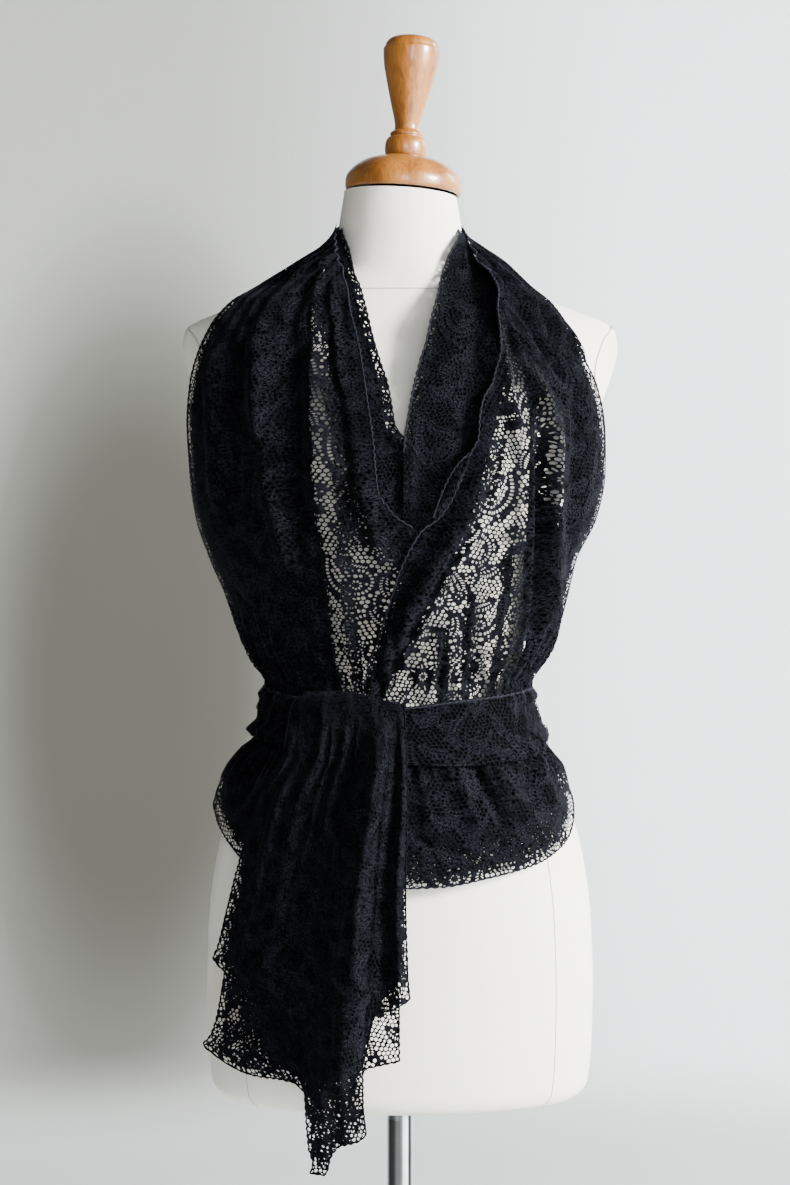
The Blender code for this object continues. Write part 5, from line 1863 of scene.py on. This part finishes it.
def build_peplum(cloth):
    border, bottom = peplum_border()
    lay_lace(cloth, "peplum_lace", peplum_place, border, (14.0, -22.0),
             nodes=["peplum_left", "peplum_right"], rolled=("peplum_hem", [bottom], cloth.edge))
    for layer in PEPLUM_LAYERS:
        lay_lace(cloth, f"peplum_{layer.word}_lace", lambda s, t: peplum_place(s, t, layer.lift),
                 peplum_border(layer.short)[0], layer.shift)
    core_border, lower_edge = peplum_border(
        mix(PEPLUM_LEFT_CORE_SHORT, PEPLUM_RIGHT_CORE_SHORT, ease(-40, 10, PEPLUM_DEGREES)))
    half = lower_edge[-1, 0]

    def core_place(t, s):
        return peplum_place(s, t * np.interp(s, lower_edge[:, 0], lower_edge[:, 1]), PEPLUM_CORE_LIFT)

    # A plain core, painted near-black as the shade among the peplum's layers.
    core = plain_sheet("peplum_core", core_place, lambda s: 0 * s, lambda s: 0 * s + 1.0,
                       np.linspace(-half, half, 260), 16)
    finish_piece(core, cloth.backing)
    declare(core_border, 0.0)


# How far the plain layer inside the tail reaches, as shares of its width, down from its top.
CoreSide = namedtuple("CoreSide", "down left right")
FRONT_TAIL_CORE = table(CoreSide, (
    (2, 0.02, 0.992), (120, 0.03, 0.99), (215, 0.07, 0.975), (240, 0.16, 0.955), (256, 0.27, 0.87),
    (285, 0.37, 0.81), (318, 0.47, 0.72),
))
BACK_TAIL_CORE = table(CoreSide, (
    (4, 0.16, 0.97), (90, 0.16, 0.92), (118, 0.18, 0.72), (160, 0.30, 0.70), (184, 0.42, 0.60),
))
# The same for the second and third layers of lace.
BACK_TAIL_SECOND = table(CoreSide, (
    (2, 0.01, 0.99), (100, 0.02, 0.985), (125, 0.03, 0.80), (150, 0.05, 0.72), (168, 0.08, 0.74),
    (178, 0.14, 0.84), (190, 0.40, 0.62), (203, 0.50, 0.55),
))
BACK_TAIL_THIRD = table(CoreSide, (
    (2, 0.03, 0.97), (100, 0.05, 0.95), (120, 0.10, 0.76), (150, 0.16, 0.72), (170, 0.24, 0.70),
    (182, 0.34, 0.62),
))
FRONT_TAIL_SECOND = table(CoreSide, (
    (2, 0.01, 0.995), (200, 0.02, 0.99), (236, 0.03, 0.985), (254, 0.14, 0.96), (270, 0.33, 0.86),
    (300, 0.42, 0.80), (334, 0.50, 0.70),
))
TIP_THIRD = table(CoreSide, (
    (2, 0.06, 0.94), (50, 0.10, 0.84), (70, 0.12, 0.66), (82, 0.12, 0.40),
))
TIP_SECOND = table(CoreSide, (
    (2, 0.03, 0.97), (60, 0.04, 0.94), (74, 0.05, 0.80), (88, 0.06, 0.42), (104, 0.08, 0.26),
))


# The layers inside the tail: how far in each lies, and the place of the lace's repeat on it.
TailInner = namedtuple("TailInner", "name layer lift shift sides")
TAIL_INNERS = table(TailInner, (
    ("tail_back_second", BACK_TAIL, -1.2, (20.0, 95.0), BACK_TAIL_SECOND),
    ("tail_back_third", BACK_TAIL, -2.0, (41.0, 17.0), BACK_TAIL_THIRD),
    ("tail_front_second", FRONT_TAIL, -1.5, (75.0, 60.0), FRONT_TAIL_SECOND),
    ("tail_tip_second", TIP, -1.0, (60.0, 31.0), TIP_SECOND),
    ("tail_tip_third", TIP, -1.8, (12.0, 77.0), TIP_THIRD),
))


def tail_sides(layer, sides, rows, wave, left_pitch, left_seed, right_pitch, right_seed):
    """The places down an inner layer and its wavy left and right sides."""
    downs = np.linspace(sides[0].down, sides[-1].down, rows)
    left = layer.width * curve(sides, "down", "left", downs)
    left = left + wave * wander(downs / left_pitch, left_seed)
    right = layer.width * curve(sides, "down", "right", downs)
    right = right + wave * wander(downs / right_pitch, right_seed)
    return downs, left, right


def build_tail(cloth):
    for name, layer, shift in (
        ("tail_front", FRONT_TAIL, (20.0, 10.0)),
        ("tail_back", BACK_TAIL, (63.0, 48.0)),
        ("tail_tip", TIP, (33.0, 70.0)),
    ):
        border, run = tail_border(layer)
        lay_lace(cloth, f"{name}_lace", lambda s, t: tail_place(layer, s, t), border, shift,
                 nodes=[name], rolled=(f"{name}_hem", [run], cloth.black))
    for inner in TAIL_INNERS:
        downs, left, right = tail_sides(inner.layer, inner.sides, 90, 0.9, 6.0, 2.0, 5.0, 3.0)
        lay_lace(cloth, f"{inner.name}_lace", lambda s, t: tail_place(inner.layer, s, t, inner.lift),
                 strip_border(left, right, downs), inner.shift)
    for name, layer, lift, sides in (
        ("tail_front_core", FRONT_TAIL, -3.0, FRONT_TAIL_CORE),
        ("tail_back_core", BACK_TAIL, -2.4, BACK_TAIL_CORE),
    ):
        downs, left, right = tail_sides(layer, sides, 70, 1.2, 9.0, 1.0, 8.0, 4.0)
        lay_core(cloth, name, lambda s, t: tail_place(layer, s, t, lift), downs, left, right, downs, 110)


# Studio, in metres
STUDIO_RADIUS = 3.6
STUDIO_SWEEP = 1.1
STUDIO_HEIGHT = 4.2
STUDIO_SIDES = 96
# The wall's shade runs from 0, dark, to 1, pale. Painted shade: the wall is painted darker to the left and
# darker still far to the left, and a soft painted shadow lies on it to the left of the form.
WALL_LEFT = 0.58
WALL_RIGHT = 1.0
FAR_LEFT_DARKER = 0.64
FLOOR_PALE = 0.80
SHADOW_X = -0.60
SHADOW_Z = 0.92
SHADOW_HALF_WIDTH = 0.54
SHADOW_HALF_HEIGHT = 1.20
SHADOW_DEPTH = 0.58
WALL_SHADES = (
    (0.0, (0.071, 0.070, 0.060)), (0.25, (0.142, 0.142, 0.126)), (0.5, (0.275, 0.282, 0.262)),
    (0.75, (0.505, 0.525, 0.505)), (1.0, (0.90, 0.93, 0.95)),
)
AIR_COLOUR = (0.93, 0.95, 0.96, 1.0)
AIR_STRENGTH = 0.12

Lamp = namedtuple("Lamp", "name place target size power colour")
LAMPS = table(Lamp, (
    ("key_window", (2.7, -1.6, 2.1), (0, 0, 1.15), 1.0, 640.0, (1.0, 0.99, 0.98)),
    ("fill_front", (0.1, -2.9, 1.7), (0, 0, 1.1), 0.8, 16.0, (0.97, 0.99, 1.0)),
    ("back_right", (2.4, 1.3, 2.6), (0.6, 3.0, 1.2), 1.6, 130.0, (0.95, 0.98, 1.0)),
))


def see_in(tree, shader):
    """Lets the wall be looked through from outside, so that every side of the part can be viewed."""
    side = tree.nodes.new("ShaderNodeNewGeometry")
    clear = tree.nodes.new("ShaderNodeBsdfTransparent")
    either = tree.nodes.new("ShaderNodeMixShader")
    tree.links.new(side.outputs["Backfacing"], either.inputs["Fac"])
    tree.links.new(shader.outputs["BSDF"], either.inputs[1])
    tree.links.new(clear.outputs["BSDF"], either.inputs[2])
    tree.links.new(either.outputs["Shader"], tree.nodes["Material Output"].inputs["Surface"])


def wall_material():
    """A pale matt wall and floor, with painted shade that darkens it to the left and one soft painted shadow.
    """
    made, tree, shader = new_material("studio_pale", 0.95)
    shader.inputs["Specular IOR Level"].default_value = 0.1
    place = object_place(tree)
    across = axis(tree, place, "X")
    # Painted shade: the wall is painted darker to the left.
    wall = ranged(tree, across, (-0.55, 0.60), (WALL_LEFT, WALL_RIGHT), eased=True)
    # Painted shadow: a soft round patch to the left of the form.
    spot = tree.nodes.new("ShaderNodeMapping")
    spot.inputs["Scale"].default_value = (1 / SHADOW_HALF_WIDTH, 0.0, 1 / SHADOW_HALF_HEIGHT)
    spot.inputs["Location"].default_value = (
        -SHADOW_X / SHADOW_HALF_WIDTH, 0.0, -SHADOW_Z / SHADOW_HALF_HEIGHT)
    tree.links.new(place, spot.inputs["Vector"])
    round_shade = texture(tree, "ShaderNodeTexGradient", spot.outputs["Vector"])
    round_shade.gradient_type = "SPHERICAL"
    shadow = ranged(tree, round_shade.outputs["Fac"], (0.0, 0.62), (0.0, SHADOW_DEPTH), eased=True)
    # Painted shade: darker still far to the left.
    far_left = ranged(tree, across, (-1.7, -1.0), (FAR_LEFT_DARKER, 0.0), eased=True)
    shaded = worked(tree, "SUBTRACT", worked(tree, "SUBTRACT", wall, shadow), far_left)
    above = ranged(tree, axis(tree, place, "Z"), (0.0, 0.14), (0.0, 1.0), eased=True)
    shade = tree.nodes.new("ShaderNodeMix")
    shade.inputs["A"].default_value = FLOOR_PALE
    tree.links.new(above, shade.inputs["Factor"])
    tree.links.new(shaded, shade.inputs["B"])
    colours = ramp(tree, shade.outputs["Result"], WALL_SHADES)
    tree.links.new(colours.outputs["Color"], shader.inputs["Base Color"])
    see_in(tree, shader)
    return made


def build_studio():
    """A pale floor that sweeps up to a pale wall all round."""
    foot = STUDIO_RADIUS - STUDIO_SWEEP
    profile = [(0.02, 0.0), (0.6, 0.0), (1.4, 0.0), (foot, 0.0)]
    for n in range(1, 13):
        a = math.pi / 2 * n / 12
        profile.append((foot + STUDIO_SWEEP * math.sin(a), STUDIO_SWEEP * (1 - math.cos(a))))
    profile.append((STUDIO_RADIUS, STUDIO_HEIGHT))
    rings = []
    for radius, height in profile:
        for k in range(STUDIO_SIDES):
            a = 2 * math.pi * k / STUDIO_SIDES
            rings.append((radius * math.cos(a), radius * math.sin(a), height - 0.0005))
    mesh = bpy.data.meshes.new("studio_floor")
    faces = grid_faces(len(profile), STUDIO_SIDES, closed=True)
    mesh.from_pydata(rings, [], [tuple(int(k) for k in face) for face in faces])
    mesh.shade_smooth()
    floor = bpy.data.objects.new("studio_floor", mesh)
    bpy.context.scene.collection.objects.link(floor)
    if mesh.polygons[0].normal.z < 0:
        mesh.flip_normals()
    mesh.materials.append(wall_material())


def build_light():
    """The air's own faint light and the lamps."""
    world = bpy.data.worlds.new("studio_air")
    bpy.context.scene.world = world
    world.use_nodes = True
    world.node_tree.nodes["Background"].inputs["Color"].default_value = AIR_COLOUR
    world.node_tree.nodes["Background"].inputs["Strength"].default_value = AIR_STRENGTH
    for lamp in LAMPS:
        light = bpy.data.lights.new(lamp.name, "AREA")
        light.shape = "DISK"
        light.size = lamp.size
        light.energy = lamp.power
        light.color = lamp.colour
        holder = bpy.data.objects.new(lamp.name, light)
        holder.location = lamp.place
        aim = Vector(lamp.target) - Vector(lamp.place)
        holder.rotation_euler = aim.to_track_quat("-Z", "Y").to_euler()
        bpy.context.scene.collection.objects.link(holder)


def build_camera():
    camera = bpy.data.cameras.new("camera")
    camera.lens = CAMERA_LENS
    camera.sensor_width = CAMERA_SENSOR
    holder = bpy.data.objects.new("camera", camera)
    holder.location = CAMERA_PLACE
    holder.rotation_euler = (math.pi / 2, 0, 0)
    bpy.context.scene.collection.objects.link(holder)
    bpy.context.scene.camera = holder


# Colours of the lace: its net threads, its close-knit motifs and how much its nap shines.
LaceColour = namedtuple("LaceColour", "thread motif sheen")
BLACK = LaceColour((0.0040, 0.0042, 0.0059), (0.0036, 0.0038, 0.0054), 0.032)
# The under layers are painted near-black, darker than the lace, for the shade between the stacked layers.
UNDER_LAYER_SHADE = LaceColour((0.0005, 0.0005, 0.0007), (0.0006, 0.0006, 0.0009), 0.0)
ROLLED_HEM = LaceColour((0.012, 0.0125, 0.017), (0.017, 0.018, 0.024), 0.08)

build_studio()
build_light()
build_camera()
black = lace_material("black_lace", *BLACK)
backing = lace_material("black_under_layer_shade", *UNDER_LAYER_SHADE)
edge = lace_material("black_rolled_hem", *ROLLED_HEM)
linen = linen_material()
# Painted shade: a darker copy of the linen for the seams, for the shade in their grooves.
shaded_seam_linen = linen.copy()
shaded_seam_linen.name = "linen_seam_shaded"
for node in shaded_seam_linen.node_tree.nodes:
    if node.bl_idname == "ShaderNodeValToRGB":
        for element in node.color_ramp.elements:
            element.color = (*(SEAM_SHADE * value for value in element.color[:3]), 1.0)
oak = oak_material()
chrome = chrome_material()
paint = painted_material()
build_stand(chrome, paint)
build_wood(oak)
build_torso(linen)
build_neck(linen)
build_seams(shaded_seam_linen)
cloth = Cloth(Lace(), black, backing, edge)
build_fronts(cloth)
build_cowl(cloth)
build_flap(cloth)
build_band(cloth)
build_sash(cloth)
build_peplum(cloth)
build_tail(cloth)
